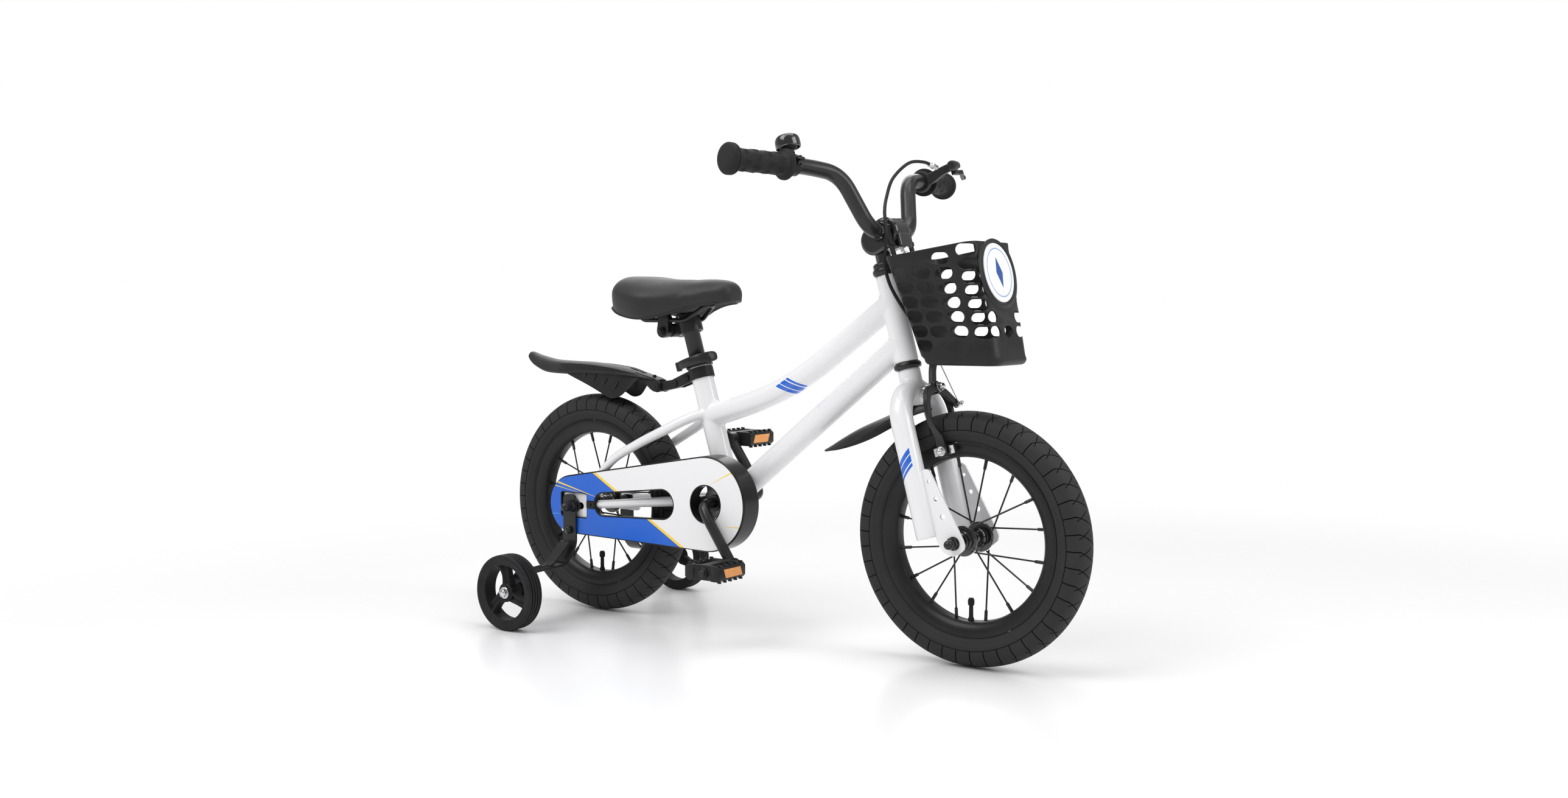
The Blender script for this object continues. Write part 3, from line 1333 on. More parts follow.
def fenderClampPiece():
    bx, bz = fenderPivots["second"]
    band = lathe([(17.35, 192), (18.9, 192), (19.6, 192.8), (19.6, 208.2), (18.9, 209), (17.35, 209)], 64)
    made = [setBy(band, seatFrame)]
    for side in (1, -1):
        start, end = sorted((side * 7, side * 11))
        ear = prism(strap(bx, bz, 7.5, bx + 26, bz + 10, 8.5, 12), start, end)
        hole = setBy(rod((0, 0, 180), (0, 0, 225), 17.35, sides=48), seatFrame)
        made.append(softened(cutBy(ear, hole), 0.9, 2))
        made.append(crossHead(bx, bz, 11, side, 5.2))
        made.append(crossHead(bx + 24, bz + 9, 11, side, 4.6))
    made.append(rod((bx, -13, bz), (bx, 13, bz), 3, sides=20))
    made.append(rod((bx + 24, -12, bz + 9), (bx + 24, 12, bz + 9), 3.6, sides=20))
    return joined(made)


def fenderLinkPiece():
    (bx, bz), (tx, tz) = fenderPivots["second"], fenderPivots["third"]
    body = prism(strap(tx, tz, 7.5, bx, bz, 6.8, 14), -6.6, 6.6)
    body = softened(cutBy(body, rod((bx, -20, bz), (bx, 20, bz), 3.3, sides=24)), 1.2, 3)
    heads = [crossHead(tx, tz, 11, side, 5.6) for side in (1, -1)]
    return joined([body, rod((tx, -13, tz), (tx, 13, tz), 3, sides=20)] + heads)


finished(fenderClampPiece(), "rearMudguardClamp", "frame", ["fender_clamp"], groundFrame,
         plasticBlack)
finished(fenderLinkPiece(), "rearMudguardLink", "fender_link", ["fender_link"], groundFrame,
         plasticBlack)


# the blade, its skirt with slanted ribs on both sides, the slot with its screw and the plates under it
def rearFenderPiece():
    tx, tz = fenderPivots["third"]
    stations = [(0, 12, 11, 1.5), (-34, 21, 20, 5), (-64, 28, 27, 9), (-92, 32, 29, 12), (-140, 36, 31, 15.5),
                (-180, 37, 31, 17.5), (-222, 38.5, 29.5, 17), (-248, 42.5, 25.5, 14), (-266, 46.5, 20, 11),
                (-277, 50, 14, 8), (-282, 50.5, 8.5, 5), (-284, 49.5, 4, 3)]
    blade = arch([(tx + x, tz + z, half, drop) for x, z, half, drop in stations], 2.6, 5, 16, 2.2)
    slot = prism(strap(tx - 60, 0, 3.4, tx - 34, 0, 3.4, 8), -10, 10)
    slot = setBy(slot, moved(0, 0, tz + 24) @ Matrix.Rotation(math.pi / 2, 4, "X"))
    made = [softened(cutBy(blade, slot), 0.7, 2, 45)]
    skirt = [(-30, 17, 15, 0.8), (-40, 20.5, 8, 0.84), (-52, 23, -5, 0.88), (-62, 25, -14.5, 0.9),
             (-72, 27, -18.8, 0.92), (-84, 28.8, -19.4, 0.93), (-98, 30.3, -13.5, 0.93), (-118, 32.2, -4.5, 0.93),
             (-140, 33.5, 4.5, 0.93), (-162, 34, 12.5, 0.93), (-182, 34, 20.5, 0.92), (-196, 34, 28, 0.9)]
    halves = [(0, 11), (-34, 20), (-64, 27), (-92, 29), (-140, 31), (-180, 31), (-222, 28), (-254, 22)]

    def halfAt(x):
        for (x1, h1), (x2, h2) in zip(halves, halves[1:]):
            if x2 <= x <= x1:
                return h1 + (h2 - h1) * (x - x1) / (x2 - x1)
        return 20

    for side in (1, -1):
        rings = []
        for x, top, low, share in smoothRun(skirt, 4):
            out, lean = halfAt(x) * share, 1.6
            places = [(out - 2.4, top), (out - 0.4, (top + low) / 2), (out + lean, low),
                      (out + lean - 1.6, low + 0.3),
                      (out - 2.0, (top + low) / 2), (out - 4.0, top)]
            rings.append([(tx + x, side * y, tz + z) for y, z in places])
        made.append(softened(loft(rings), 0.35, 2, 50))
    clearAll()
    bpy.ops.mesh.primitive_uv_sphere_add(segments=20, ring_count=12, radius=1)
    rib = bpy.context.object
    leaned = Matrix.Rotation(math.radians(-52), 4, "Y")
    for x, z, long in ((-74, 0, 17), (-96, 6.5, 15), (-117, 12.5, 12), (-136, 16.5, 9)):
        for side in (1, -1):
            spot = moved(tx + x, side * (halfAt(x) * 0.93 - 0.6), tz + z) @ leaned
            made.append(copied(rib, spot @ Matrix.Diagonal((long / 2, 3.0, 2.9, 1))))
    removed(rib)
    for side in (1, -1):
        start, end = sorted((side * 7, side * 11))
        cheek = [(7, -4), (6, 6), (2, 10), (-6, 13.5), (-24, 18), (-44, 23), (-44, 19), (-40, 14), (-24, 4),
                 (-14, -4), (-8, -7), (0, -8.4), (5, -7)]
        plate = prism([(tx + x, tz + z) for x, z in cheek], start, end)
        made.append(softened(cutBy(plate, rod((tx, -20, tz), (tx, 20, tz), 3.3, sides=24)), 0.7, 2))
    under = beam([((tx - 14, 0, tz + 8), 1, 9), ((tx - 40, 0, tz + 16.5), 1, 9), ((tx - 70, 0, tz + 23.5), 1, 9)],
                 4, (0, 1, 0))
    screws = [dome(3.4, 2.4, (tx - 47, 0, tz + 21.5), (-0.25, 0, 1)),
              dome(3.2, 2.6, (tx - 14, 0, tz + 16.2), (-0.27, 0, 1))]
    return joined(made + [under] + screws)


finished(rearFenderPiece(), "rearMudguard", "rear_fender", ["rear_fender"], groundFrame,
         plasticBlack, 45)
print("mudguards made")


basketSize = {"rear": 145.5, "front": 166, "floor": 110, "rearOut": 53.5, "frontOut": 36, "half": 61,
              "taper": 0.115, "flare": 0.045, "rearCorner": 12, "frontCorner": 20, "wall": 2.4, "badgeUp": 124,
              "hole": (25.5, 15.6), "pitch": 19.5, "tighter": 1.2, "foot": 26, "slits": 112,
              "columns": [(0.133, 0, 6), (0.378, 1, 6), (0.625, 1, 7), (0.905, 1, 8)],
              "frontRows": [(1, (-0.67, 0, 0.67)), (2, (-0.69, 0.69))]}


def basketHeight(level, x):
    size = basketSize
    rise = (size["front"] - size["rear"]) / (size["floor"] - size["frontOut"] + size["rearOut"])
    return level * (size["rear"] + rise * (x + size["rearOut"]))


def basketHalf(x, height):
    return basketSize["half"] - basketSize["taper"] * x + basketSize["flare"] * height


def basketRing(level, inset, lift=0.0, steps=7):
    size = basketSize
    rear = -size["rearOut"] * level + inset
    front = size["floor"] - size["frontOut"] * level - inset
    rearHalf = basketHalf(rear, basketHeight(level, rear)) - inset
    frontHalf = basketHalf(front, basketHeight(level, front)) - inset
    rearCorner, frontCorner = size["rearCorner"] - inset / 2, size["frontCorner"] - inset / 2
    flank = math.atan2(front - rear, rearHalf - frontHalf)
    frontY = frontHalf - frontCorner * math.tan(flank / 2)
    rearY = rearHalf - rearCorner / math.tan(flank / 2)
    turn = math.degrees(flank)
    spots = (arc(front - frontCorner, -frontY, frontCorner, -turn, 0, steps)
             + arc(front - frontCorner, frontY, frontCorner, 0, turn, steps)
             + arc(rear + rearCorner, rearY, rearCorner, turn, 180, steps)
             + arc(rear + rearCorner, -rearY, rearCorner, 180, 360 - turn, steps))
    return [(x, y, basketHeight(level, x) + lift) for x, y in spots]


def basketEnd(height, which):
    size = basketSize
    if which == "front":
        return size["floor"] - size["frontOut"] * height / size["front"]
    return -size["rearOut"] * height / size["rear"]


def ovalTool(width, height, start, end):
    reach = (width - height) / 2
    return prism(arc(-reach, 0, height / 2, 90, 270, 9) + arc(reach, 0, height / 2, -90, 90, 9), start, end)


def basketTools():
    size = basketSize
    width, height = size["hole"]
    side = ovalTool(width, height, -12, 12)
    ahead = setBy(ovalTool(width * 0.9, height, -24, 24), crossways)
    tools = []
    for share, start, end in size["columns"]:
        for row in range(start, end):
            up = size["foot"] + row * (size["pitch"] if end < 8 else size["pitch"] - size["tighter"])
            rear, front = basketEnd(up, "rear"), basketEnd(up, "front")
            x = rear + (front - rear) * share
            for sign in (1, -1):
                y = sign * (basketHalf(x, up) - size["wall"] / 2)
                tools.append(copied(side, moved(x, y, up)))
    for row, shares in size["frontRows"]:
        up = size["foot"] + row * size["pitch"]
        x = basketEnd(up, "front")
        for share in shares:
            tools.append(copied(ahead, moved(x, share * basketHalf(x, up), up)))
    for y in (-22, 22):
        tools.append(block((16, 1.1, 15), (basketEnd(size["slits"], "rear"), y, size["slits"])))
    removed(side, ahead)
    return tools


def badgeFrame():
    up = basketSize["badgeUp"]
    lean = math.atan2(basketSize["frontOut"], basketSize["front"])
    return moved(basketEnd(up, "front"), 0, up) @ Matrix.Rotation(math.pi / 2 - lean, 4, "Y")


def basketPiece():
    outer = [(0, 9, 0), (0, 5.2, 0.5), (0, 2.6, 2.0), (0, 0.9, 4.6), (0, 0.15, 8.0), (0.08, 0, 0), (0.3, 0, 0),
             (0.6, 0, 0), (1, 0, 0)]
    inner = [(0, 11, 2.4), (0, 6.4, 3.6), (0, 4.0, 6.4), (0, 2.6, 10), (0.1, 2.4, 0), (0.3, 2.4, 0), (0.6, 2.4, 0),
             (1.06, 2.4, 0)]
    shell = loft([basketRing(level, inset, lift) for level, inset, lift in outer])
    hollow = loft([basketRing(level, inset, lift) for level, inset, lift in inner])
    shell = softened(cutBy(shell, hollow), 1.1, 3, 50)
    for tool in basketTools():
        shell = cutBy(shell, tool)
    shell = softened(shell, 0.45, 2, 40)
    disc = lathe([(0.01, -2.4), (44.5, -2.4), (46.6, -1.6), (47, 0), (47, 1.6), (46.2, 2.7), (44.8, 3.0),
                  (43.2, 2.8), (42.2, 2.0), (41.6, 0.6), (41.4, 0.0), (0.01, 0.0)], 80)
    fillet = lathe([(46.4, -1.2), (52.5, 0.4), (50.0, 0.7), (48.2, 1.2), (46.9, 2.0), (45.5, 2.0)], 80)
    above = block((200, 200, 100), (basketEnd(164, "front"), 0, 212))
    fillet = cutBy(setBy(fillet, badgeFrame()), above)
    return joined([shell, setBy(disc, badgeFrame()), fillet])


finished(basketPiece(), "carryBasket", "steering", ["basket"], basketFrame, plasticBlack, 40)
badgeCentre = basketFrame @ badgeFrame() @ Vector((0, 0, 1.5))
badgeMaterial = badgePrint(tuple(v / 1000 for v in badgeCentre),
                           -math.atan2(basketSize["frontOut"], basketSize["front"]))
badge = lathe([(0.01, 0.4), (40.9, 0.4), (40.9, 1.5), (40.3, 2.2), (37, 2.6), (0.01, 2.7)], 72)
finished(setBy(badge, badgeFrame()), "basketBadge", "steering", ["basket_badge"], basketFrame,
         badgeMaterial)


def strapPiece(side):
    middle = side * 26.5
    start, end = middle - 5.5, middle + 5.5
    loop = flatRing(11.45, 13.5, start, end, 48, barSize["centre"], (0, 1, 0))
    path = rounded([(32.5, 0, 190), (32.5, 0, 151), (41.2, 0, 127), (43.6, 0, 99)], 9, 6)
    tail = prism(bandOutline([(p.x, p.z) for p in path], 2.1), start, end)
    stud = dome(2.8, 2.0, (39.4, middle, 136), (0.94, 0, 0.34))
    keeper = block((4.6, 13, 6), (32.6, middle, 168))
    return joined([softened(loop, 0.4, 2), softened(tail, 0.4, 2), softened(keeper, 0.8, 2), stud])


for side, word in bothSides:
    finished(strapPiece(side), word + "BasketStrap", "steering", ["basket_strap_" + word],
             steerFrame, rubberBlack)
print("basket made")


def bellParts():
    y = 110.5
    ring = wheelLathe([(11.2, y - 6.5), (13.9, y - 6.5), (14.6, y - 5.8), (14.6, y + 5.8), (13.9, y + 6.5),
                       (11.2, y + 6.5)], 48)
    lugs = [softened(block((9, 13, 3.6), (16.5, y, z)), 0.9, 2) for z in (-3, 3)]
    screw = rod((18, y, -7), (18, y, 6.4), 1.8, sides=16)
    head = dome(3.2, 2.2, (18, y, 5.2), (0, 0, 1))
    post = lathe([(0.01, 12.5), (8.4, 12.5), (6.8, 15), (6.3, 17), (6.3, 19.5), (9, 20.4), (11.8, 23), (13.6, 25.6),
                  (13.2, 26), (0.01, 26)], 48, (0, y, 0))
    spring = flatRing(6.4, 7.4, 15.6, 17.2, 32, (0, y, 0))
    base = painted(joined([ring, post, spring, screw, head] + lugs), plasticBlack)
    domeTop = lathe([(0.01, 41.3), (10.6, 41.1), (12.6, 40.6), (14.6, 39.2), (16.0, 37.0), (16.8, 33.8), (17, 30),
                     (17, 25.2), (16.7, 24.2), (16.9, 23.6), (16.4, 23.3), (15.4, 23.3), (15.4, 30), (14.4, 36),
                     (11.6, 38.6), (0.01, 39.4)], 64, (0, y, 0))
    stud = lathe([(0.01, 40.9), (2.6, 40.9), (2.4, 41.6), (1.4, 41.9), (0.01, 42)], 24, (0, y, 0))
    bead = rod((0, y, 26.2), (0, y, 40.5), 2.4, sides=20)
    top = joined([domeTop, stud, bead])
    x, z = -8.8, 18
    pin = rod((x, y, z - 2), (x, y, z + 2), 2.2, sides=20)
    arm = softened(block((20, 4, 3), (x - 10, y + 2, z)), 0.8, 2)
    pad = softened(block((3, 12, 8), (x - 21, y + 4, z + 1)), 1.0, 3)
    ribs = [block((0.8, 0.9, 6.4), (x - 22.6, y + 4 + k * 2.4, z + 1)) for k in (-2, -1, 0, 1, 2)]
    lever = joined([pin, arm, pad] + ribs)
    return base, top, lever


bellBase, bellDome, bellLever = bellParts()
bellPlace = barEndFrame(-1)
finished(bellBase, "bellClamp", "steering", ["bell_base"], bellPlace)
finished(bellDome, "bellCap", "steering", ["bell_dome"], bellPlace, glossBlack, 30)
finished(bellLever, "bellThumbLever", "bell_lever", ["bell_lever"], bellPlace, plasticBlack)


def brakeBracket():
    ring = wheelLathe([(11.2, -119.8), (14.6, -119.8), (15.8, -118.6), (15.8, -105.4), (14.6, -104.2),
                       (11.2, -104.2)], 48)
    ring = cutBy(ring, block((12, 30, 2), (-14, -112, 0)))
    lug = softened(block((8, 12, 13), (-16, -112, 0)), 1.6, 2)
    lug = cutBy(lug, block((14, 20, 2), (-18, -112, 0)))
    screw = rod((-17.4, -112, -7.6), (-17.4, -112, 7.6), 2, sides=16)
    screwHead = dome(3.1, 2.2, (-17.4, -112, 6.3), (0, 0, 1))
    stations = [((8, -112, -1.5), 8.6, 7.6), ((20, -112, 1), 7.4, 7.0), ((34, -113, 5), 6.2, 6.4),
                ((50, -114, 7.6), 5.6, 6.0), ((60, -115, 8), 5.0, 5.6)]
    arm = softened(beam(stations, 4, (0, 1, 0)), 1.8, 3, 30)
    barrel = lathe([(0.01, -130), (5.2, -130), (6.2, -129), (7.2, -126), (7.5, -122), (7.5, -105.5), (6.8, -104.3),
                    (0.01, -104.3)], 40, (56, 0, 8), (0, 1, 0))
    arm = cutBy(cutBy(arm, rod((0, -140, 0), (0, -90, 0), 11.3, sides=48)), block((30, 24, 7.6), (58, -98.6, 0)))
    barrel = cutBy(barrel, block((30, 24, 7.6), (58, -98.6, 0)))
    return painted(joined([ring, arm, barrel, lug, screw, screwHead]), plasticBlack)


def brakeBlade():
    stations = [((52, -104.2, 0), 3.0, 3.3), ((52.2, -92, 0), 3.3, 3.3), ((55, -82.2, 0), 3.5, 3.3),
                ((52, -67, 0), 3.1, 3.3),
                ((48, -54.2, 0), 2.75, 3.3), ((44, -40, 0), 2.6, 3.3), ((42, -28.2, 0), 2.5, 3.3),
                ((41, -20.6, 0), 2.2, 3.2)]
    blade = softened(beam(stations, 4, (0, 0, 1)), 1.0, 3, 30)
    pin = rod((52, -104.2, -3.3), (52, -104.2, 3.3), 5, sides=28)
    knob = softened(block((7.4, 4.6, 6.6), (41, -22.6, 0)), 1.6, 3)
    return joined([blade, pin, knob])


leverPlace = barEndFrame(1)
finished(brakeBracket(), "brakeLeverBracket", "steering", ["brake_lever_bracket"], leverPlace)
finished(brakeBlade(), "brakeLeverBlade", "brake_lever", ["brake_lever"], leverPlace, plasticBlack)

cablePath = [(34, 146, 291), (33, 118, 296), (30, 78, 292), (24, 34, 268), (24, 4, 238), (32, -24, 213),
             (38, -40, 188), (33, -43, 164), (24, -41, 140), (22, -36, 110), (28, -24, 74), (34, -2, 42),
             (36, 18, 20), (36.5, 27, 8)]
cable = painted(tube(smoothRun(cablePath, 8), 2.4, sides=20), rubberBlack)
start, way = Vector(cablePath[0]), (Vector(cablePath[1]) - Vector(cablePath[0])).normalized()
sleeve = painted(lathe([(0.01, -6), (3.6, -6), (3.6, 1), (4.4, 1.4), (4.4, 5.6), (3.6, 6), (3.3, 6.4), (3.3, 14),
                        (2.7, 15), (0.01, 15)], 28, start, way), alloy)
foot, down = Vector(cablePath[-1]), (Vector(cablePath[-1]) - Vector(cablePath[-2])).normalized()
ferrule = painted(lathe([(0.01, -12), (2.8, -12), (3.2, -11), (3.2, 0), (3.0, 1), (0.01, 1)], 24, foot, down),
                  alloy)
finished(joined([cable, sleeve, ferrule]), "brakeCableHousing", "steering", ["brake_cable"],
         steerFrame, None, 40)
print("bell, lever and cable made")


brakeSize = {"pivotUp": -40, "rightPlate": 37.35, "leftPlate": 30.35, "half": 3.35, "bore": 3.3,
             "padAt": (41.7, -128.6), "padSide": 22.5}


# stations of a caliper plate from (y, z, half width) rows, all in one plane
def platePath(x, rows, side=1):
    return [((x, side * y, z), wide, brakeSize["half"]) for y, z, wide in rows]


def caliperArm(side, x):
    up, padX = brakeSize["pivotUp"], brakeSize["padAt"][0]
    spots = platePath(x, [(1, -40, 6.2), (14, -40.4, 6.3), (26, -45, 5.9), (34.4, -57, 5.0), (37.6, -72, 4.3),
                          (37.6, -86, 3.7)], side)
    spots += [((x + (padX - x) * 0.55, side * 34, -100), 3.0, 4.6), ((padX, side * 31, -110), 2.5, 6.0),
              ((padX, side * 31, -124), 2.5, 6.6), ((padX, side * 31, -137.4), 2.5, 6.6)]
    arm = softened(beam(spots, 4), 1.0, 3, 30)
    boss = lathe([(3.3, -3.3), (8.2, -3.3), (9, -2.5), (9, 2.5), (8.2, 3.3), (3.3, 3.3)], 40, (x, 0, up), (1, 0, 0))
    return [cutBy(arm, rod((x - 9, 0, up), (x + 9, 0, up), brakeSize["bore"], sides=32)), boss]


def chromeNut(centre, axis, radius, height):
    cap = dome(radius * 0.74, radius * 0.7, (0, 0, height), (0, 0, 1), 1.0)
    whole = joined([hexagon(radius, height), flatRing(0.01, radius * 1.12, -1.2, 0), cap])
    return painted(setBy(whole, Matrix.Translation(centre) @ pointing(axis)), chrome)


def rightArm():
    x = brakeSize["rightPlate"]
    link = beam(platePath(x, [(0, -40, 5.4), (18, -48, 5.2), (34, -59, 5.0), (47, -68, 4.4)]), 4)
    body = painted(joined(caliperArm(-1, x) + [softened(link, 1.0, 3, 30)]), steelBlack)
    nut = chromeNut((42.0, 44, -66), (1, 0, 0), 4.4, 4.6)
    collar = painted(rod((40, 44, -66), (43, 44, -66), 4.4, sides=28), chrome)
    wire = painted(rod((42.4, 42.6, -64), (36.5, 27, -8), 0.8, sides=10), alloy)
    return joined([body, nut, collar, wire])


def leftArm():
    x = brakeSize["leftPlate"]
    riser = beam(platePath(x, [(1, -40, 5.4), (6, -28, 5.2), (11, -16, 5.0), (17, -7, 4.7), (24, -1, 4.3),
                               (27, 1.4, 3.6)]), 4)
    seat = lathe([(1.2, -3), (3.4, -3), (4, -2.3), (4, 5.4), (3.4, 6), (1.2, 6)], 32, (36.5, 27, 0))
    return painted(joined(caliperArm(1, x) + [softened(riser, 1.0, 3, 30), seat]), steelBlack)


def padParts(side):
    x, z = brakeSize["padAt"]
    pad = softened(block((36, 6.8, 10.8), (x, side * brakeSize["padSide"], z)), 1.6, 3)
    grooves = [block((1.4, 4, 14), (x + k * 8, side * 18.6, z)) for k in (-1.5, -0.5, 0.5, 1.5)]
    pad = painted(cutBy(pad, *grooves), rubberBlack)
    holder = painted(softened(block((32, 3.2, 11.6), (x, side * 24.8, z)), 0.9, 2), chrome)
    stud = painted(rod((x, side * 24, z), (x, side * 38.4, z), 3, sides=24), chrome)
    return [pad, holder, stud, chromeNut((x, side * 34.9, z), (0, side, 0), 5.8, 3.6)]


for side, word in bothSides:
    arm = joined([leftArm() if side > 0 else rightArm()] + padParts(side))
    finished(arm, word + "CaliperArm", "caliper_" + word, ["caliper_arm_" + word, "brake_pad_" + word],
             steerFrame, None, 40)
pivot = [painted(rod((-20, 0, -40), (48, 0, -40), 2.9, sides=24), chrome),
         painted(flatRing(3, 7, 16.4, 26.6, 36, (0, 0, -40), (1, 0, 0)), chrome),
         chromeNut((42.4, 0, -40), (1, 0, 0), 6.2, 4.2), chromeNut((-16.6, 0, -40), (-1, 0, 0), 5.8, 4.0)]
finished(joined(pivot), "caliperPivotBolt", "steering", ["caliper_bolt"], steerFrame, None, 40)
print("front brake made")


drive = {"line": -42, "frontTeeth": 28, "frontPitch": 56.7, "rearTeeth": 14, "rearPitch": 28.5, "link": 12.7,
         "windows": 5, "crankTurn": -53, "crankLong": 105}


def armPoint(along, y):
    angle = math.radians(drive["crankTurn"])
    return Vector((crankX + along * math.cos(angle), y, crankZ + along * math.sin(angle)))


def crankPiece():
    long = drive["crankLong"]
    halves = [[armPoint(0, -sign * 40), armPoint(0, -sign * 72), armPoint(sign * 22.4, -sign * 78),
               armPoint(sign * long, -sign * 82)] for sign in (1, -1)]
    path = rounded(halves[0][::-1] + halves[1], 14, 8)
    made = [tube(path, 8, sides=32), rod((crankX, -46, crankZ), (crankX, -38.2, crankZ), 12, sides=40)]
    for sign in (1, -1):
        end = armPoint(sign * long, 0)
        boss = lathe([(0.01, 73.4), (9.8, 73.4), (11, 74.6), (11, 89.4), (9.8, 90.6), (0.01, 90.6)], 40)
        spindle = lathe([(0.01, 88), (5, 88), (5, 155.6), (4.2, 156.6), (0.01, 156.6)], 28)
        made.append(setBy(joined([boss, spindle]), moved(end.x, 0, end.z) @ outTo(-sign)))
    return joined(made)


finished(crankPiece(), "onePieceCrank", "crankset", ["crank"], groundFrame, steelBlack, 40)


def toothed(teeth, pitch):
    tip, root = pitch - 4.3 + 0.2, pitch - 4.3 - 3.4
    tooth = ((-0.26, root), (-0.12, tip - 0.5), (-0.05, tip), (0.05, tip), (0.12, tip - 0.5), (0.26, root),
             (0.5, root - 0.5))
    spots = [(2 * math.pi * (i + share) / teeth, radius) for i in range(teeth) for share, radius in tooth]
    return [(radius * math.cos(a), radius * math.sin(a)) for a, radius in spots]


def ringPiece():
    face = prism(toothed(drive["frontTeeth"], drive["frontPitch"]), -1.4, 1.4)
    tools = []
    for i in range(drive["windows"]):
        a = 2 * math.pi * i / drive["windows"]
        tools.append(rod(roundAxle(31, a, -5), roundAxle(31, a, 5), 11, sides=32))
    tools.append(rod((0, -5, 0), (0, 5, 0), 12.3, sides=40))
    face = softened(cutBy(face, *tools), 0.35, 1, 50)
    return setBy(face, moved(crankX, drive["line"], crankZ))


def cogPiece():
    face = prism(toothed(drive["rearTeeth"], drive["rearPitch"]), -1.4, 1.4)
    face = softened(cutBy(face, rod((0, -5, 0), (0, 5, 0), 10, sides=32)), 0.35, 1, 50)
    face = setBy(face, moved(0, drive["line"], axleZ))
    boss = lathe([(5.4, -46), (11, -46), (12.4, -44.4), (15, -43), (15, -33.5), (5.4, -33.5)], 48,
                 layout["rearAxle"], (0, 1, 0))
    return joined([face, boss])


finished(ringPiece(), "toothedChainring", "crankset", ["chainring"], groundFrame, chainSteel)
finished(cogPiece(), "rearSprocket", "rear_cog", ["rear_cog"], groundFrame, chainSteel)


# the chain as pairs of plates and rollers set one after another round both wheels
def chainPiece():
    big, small, line = drive["frontPitch"], drive["rearPitch"], drive["line"]
    reach = math.hypot(crankX, crankZ - axleZ)
    tilt = math.atan2(crankZ - axleZ, crankX)
    spread = math.acos((big - small) / reach)
    straight = math.sqrt(reach ** 2 - (big - small) ** 2)
    frontTurn, rearTurn = 2 * (math.pi - spread), 2 * spread
    low, high = tilt - (math.pi - spread), tilt + (math.pi - spread)
    total = 2 * straight + big * frontTurn + small * rearTurn
    count = 2 * round(total / drive["link"] / 2)
    pitch = total / count

    def onFront(a):
        return Vector((crankX + big * math.cos(a), line, crankZ + big * math.sin(a)))

    def onRear(a):
        return Vector((small * math.cos(a), line, axleZ + small * math.sin(a)))

    def spot(s):
        s %= total
        if s < big * frontTurn:
            return onFront(low + s / big)
        s -= big * frontTurn
        if s < straight:
            return onFront(high).lerp(onRear(high), s / straight)
        s -= straight
        if s < small * rearTurn:
            return onRear(high + s / small)
        s -= small * rearTurn
        return onRear(low).lerp(onFront(low), s / straight)

    def plates(out):
        waist = [(-pitch / 2 + x, z) for x, z in arc(0, 0, 3.6, 60, 300, 6)]
        shape = waist + [(0, -2.3)] + [(-x, -z) for x, z in waist] + [(0, 2.3)]
        return [prism(shape, side * out - 0.45, side * out + 0.45) for side in (1, -1)]

    def pin(half, radius, sides):
        return rod((-pitch / 2, -half, 0), (-pitch / 2, half, 0), radius, sides=sides)

    links = [joined(plates(2.6) + [pin(3.1, 1.5, 12), pin(1.6, 2.6, 14)]),
             joined(plates(1.6) + [pin(3.2, 1.5, 12)])]
    made = []
    for i in range(count):
        begin, end = spot(i * pitch), spot((i + 1) * pitch)
        way = end - begin
        turn = Matrix.Rotation(-math.atan2(way.z, way.x), 4, "Y")
        made.append(copied(links[i % 2], Matrix.Translation((begin + end) / 2) @ turn))
    removed(*links)
    return joined(made)


finished(chainPiece(), "rollerChain", "frame", ["chain"], groundFrame, chainSteel, 40)
print("drive made")


guardSize = {"face": -65, "back": -27, "wall": 2, "hole": 28, "tab": (35.2, 180)}


# outlines seen from the side: the whole guard, its long slot and the window at the rear axle
def guardShape(inset):
    return strap(-6, 177.5, 47 - inset, crankX, crankZ, 72 - inset, 40)


def slotShape(grown):
    return strap(61.9, 182.4, 17.5 + grown, 182.6, 191.9, 22 + grown, 20)


def windowShape(grown):
    return roundedBox(-27 - grown, 27 + grown, 158.5 - grown, 196.5 + grown, 3 + grown)


# cuts the slot, the window and the hole for the crank through the face of the guard
def openedUp(piece, slot, window, hole):
    for tool in (prism(slotShape(slot), -75, -60), prism(windowShape(window), -75, -60),
                 rod((crankX, -75, crankZ), (crankX, -60, crankZ), hole, sides=64)):
        piece = cutBy(piece, tool)
    return piece


def guardPiece():
    face, wall, hole = guardSize["face"], guardSize["wall"], guardSize["hole"]
    shell = softened(prism(guardShape(0), face, guardSize["back"]), 2.2, 4, 40)
    shell = cutBy(shell, prism(guardShape(wall), face + wall, -20))
    shell = openedUp(shell, 0, 0, hole)
    lip = cutBy(softened(prism(slotShape(1.8), -65.6, -58), 0.7, 2), prism(slotShape(0), -75, -50))
    collar = lathe([(hole, -65.8), (29, -65.8), (29.8, -65), (29.8, -46.4), (hole, -46.4)], 64, (crankX, 0, crankZ),
                   (0, 1, 0))
    edge = cutBy(softened(prism(windowShape(1.4), -65.4, -60), 0.5, 2), prism(windowShape(0), -75, -50))
    x, z = guardSize["tab"]
    tab = softened(block((16, 2, 11), (x, -65.8, z)), 0.8, 2)
    screw = crossHead(35.6, z, 66.4, -1, 3.0)
    boss = rod((38, -64, z), (38, -61.2, z), 5, sides=28)
    return joined([shell, lip, collar, edge, tab, screw, boss])


def guardPanel():
    x, z = guardSize["tab"]
    panel = openedUp(prism(guardShape(2.2), -66.05, -65.35), 2, 1.5, 29.6)
    return softened(cutBy(panel, block((18, 12, 13), (x, -66, z))), 0.2, 2)


finished(guardPiece(), "chainGuardShell", "frame", ["chain_guard"], groundFrame, guardBlack, 35)
finished(guardPanel(), "printedGuardCover", "frame", ["chain_guard_panel"], groundFrame,
         guardPanelPrint, 35)
print("guard made")


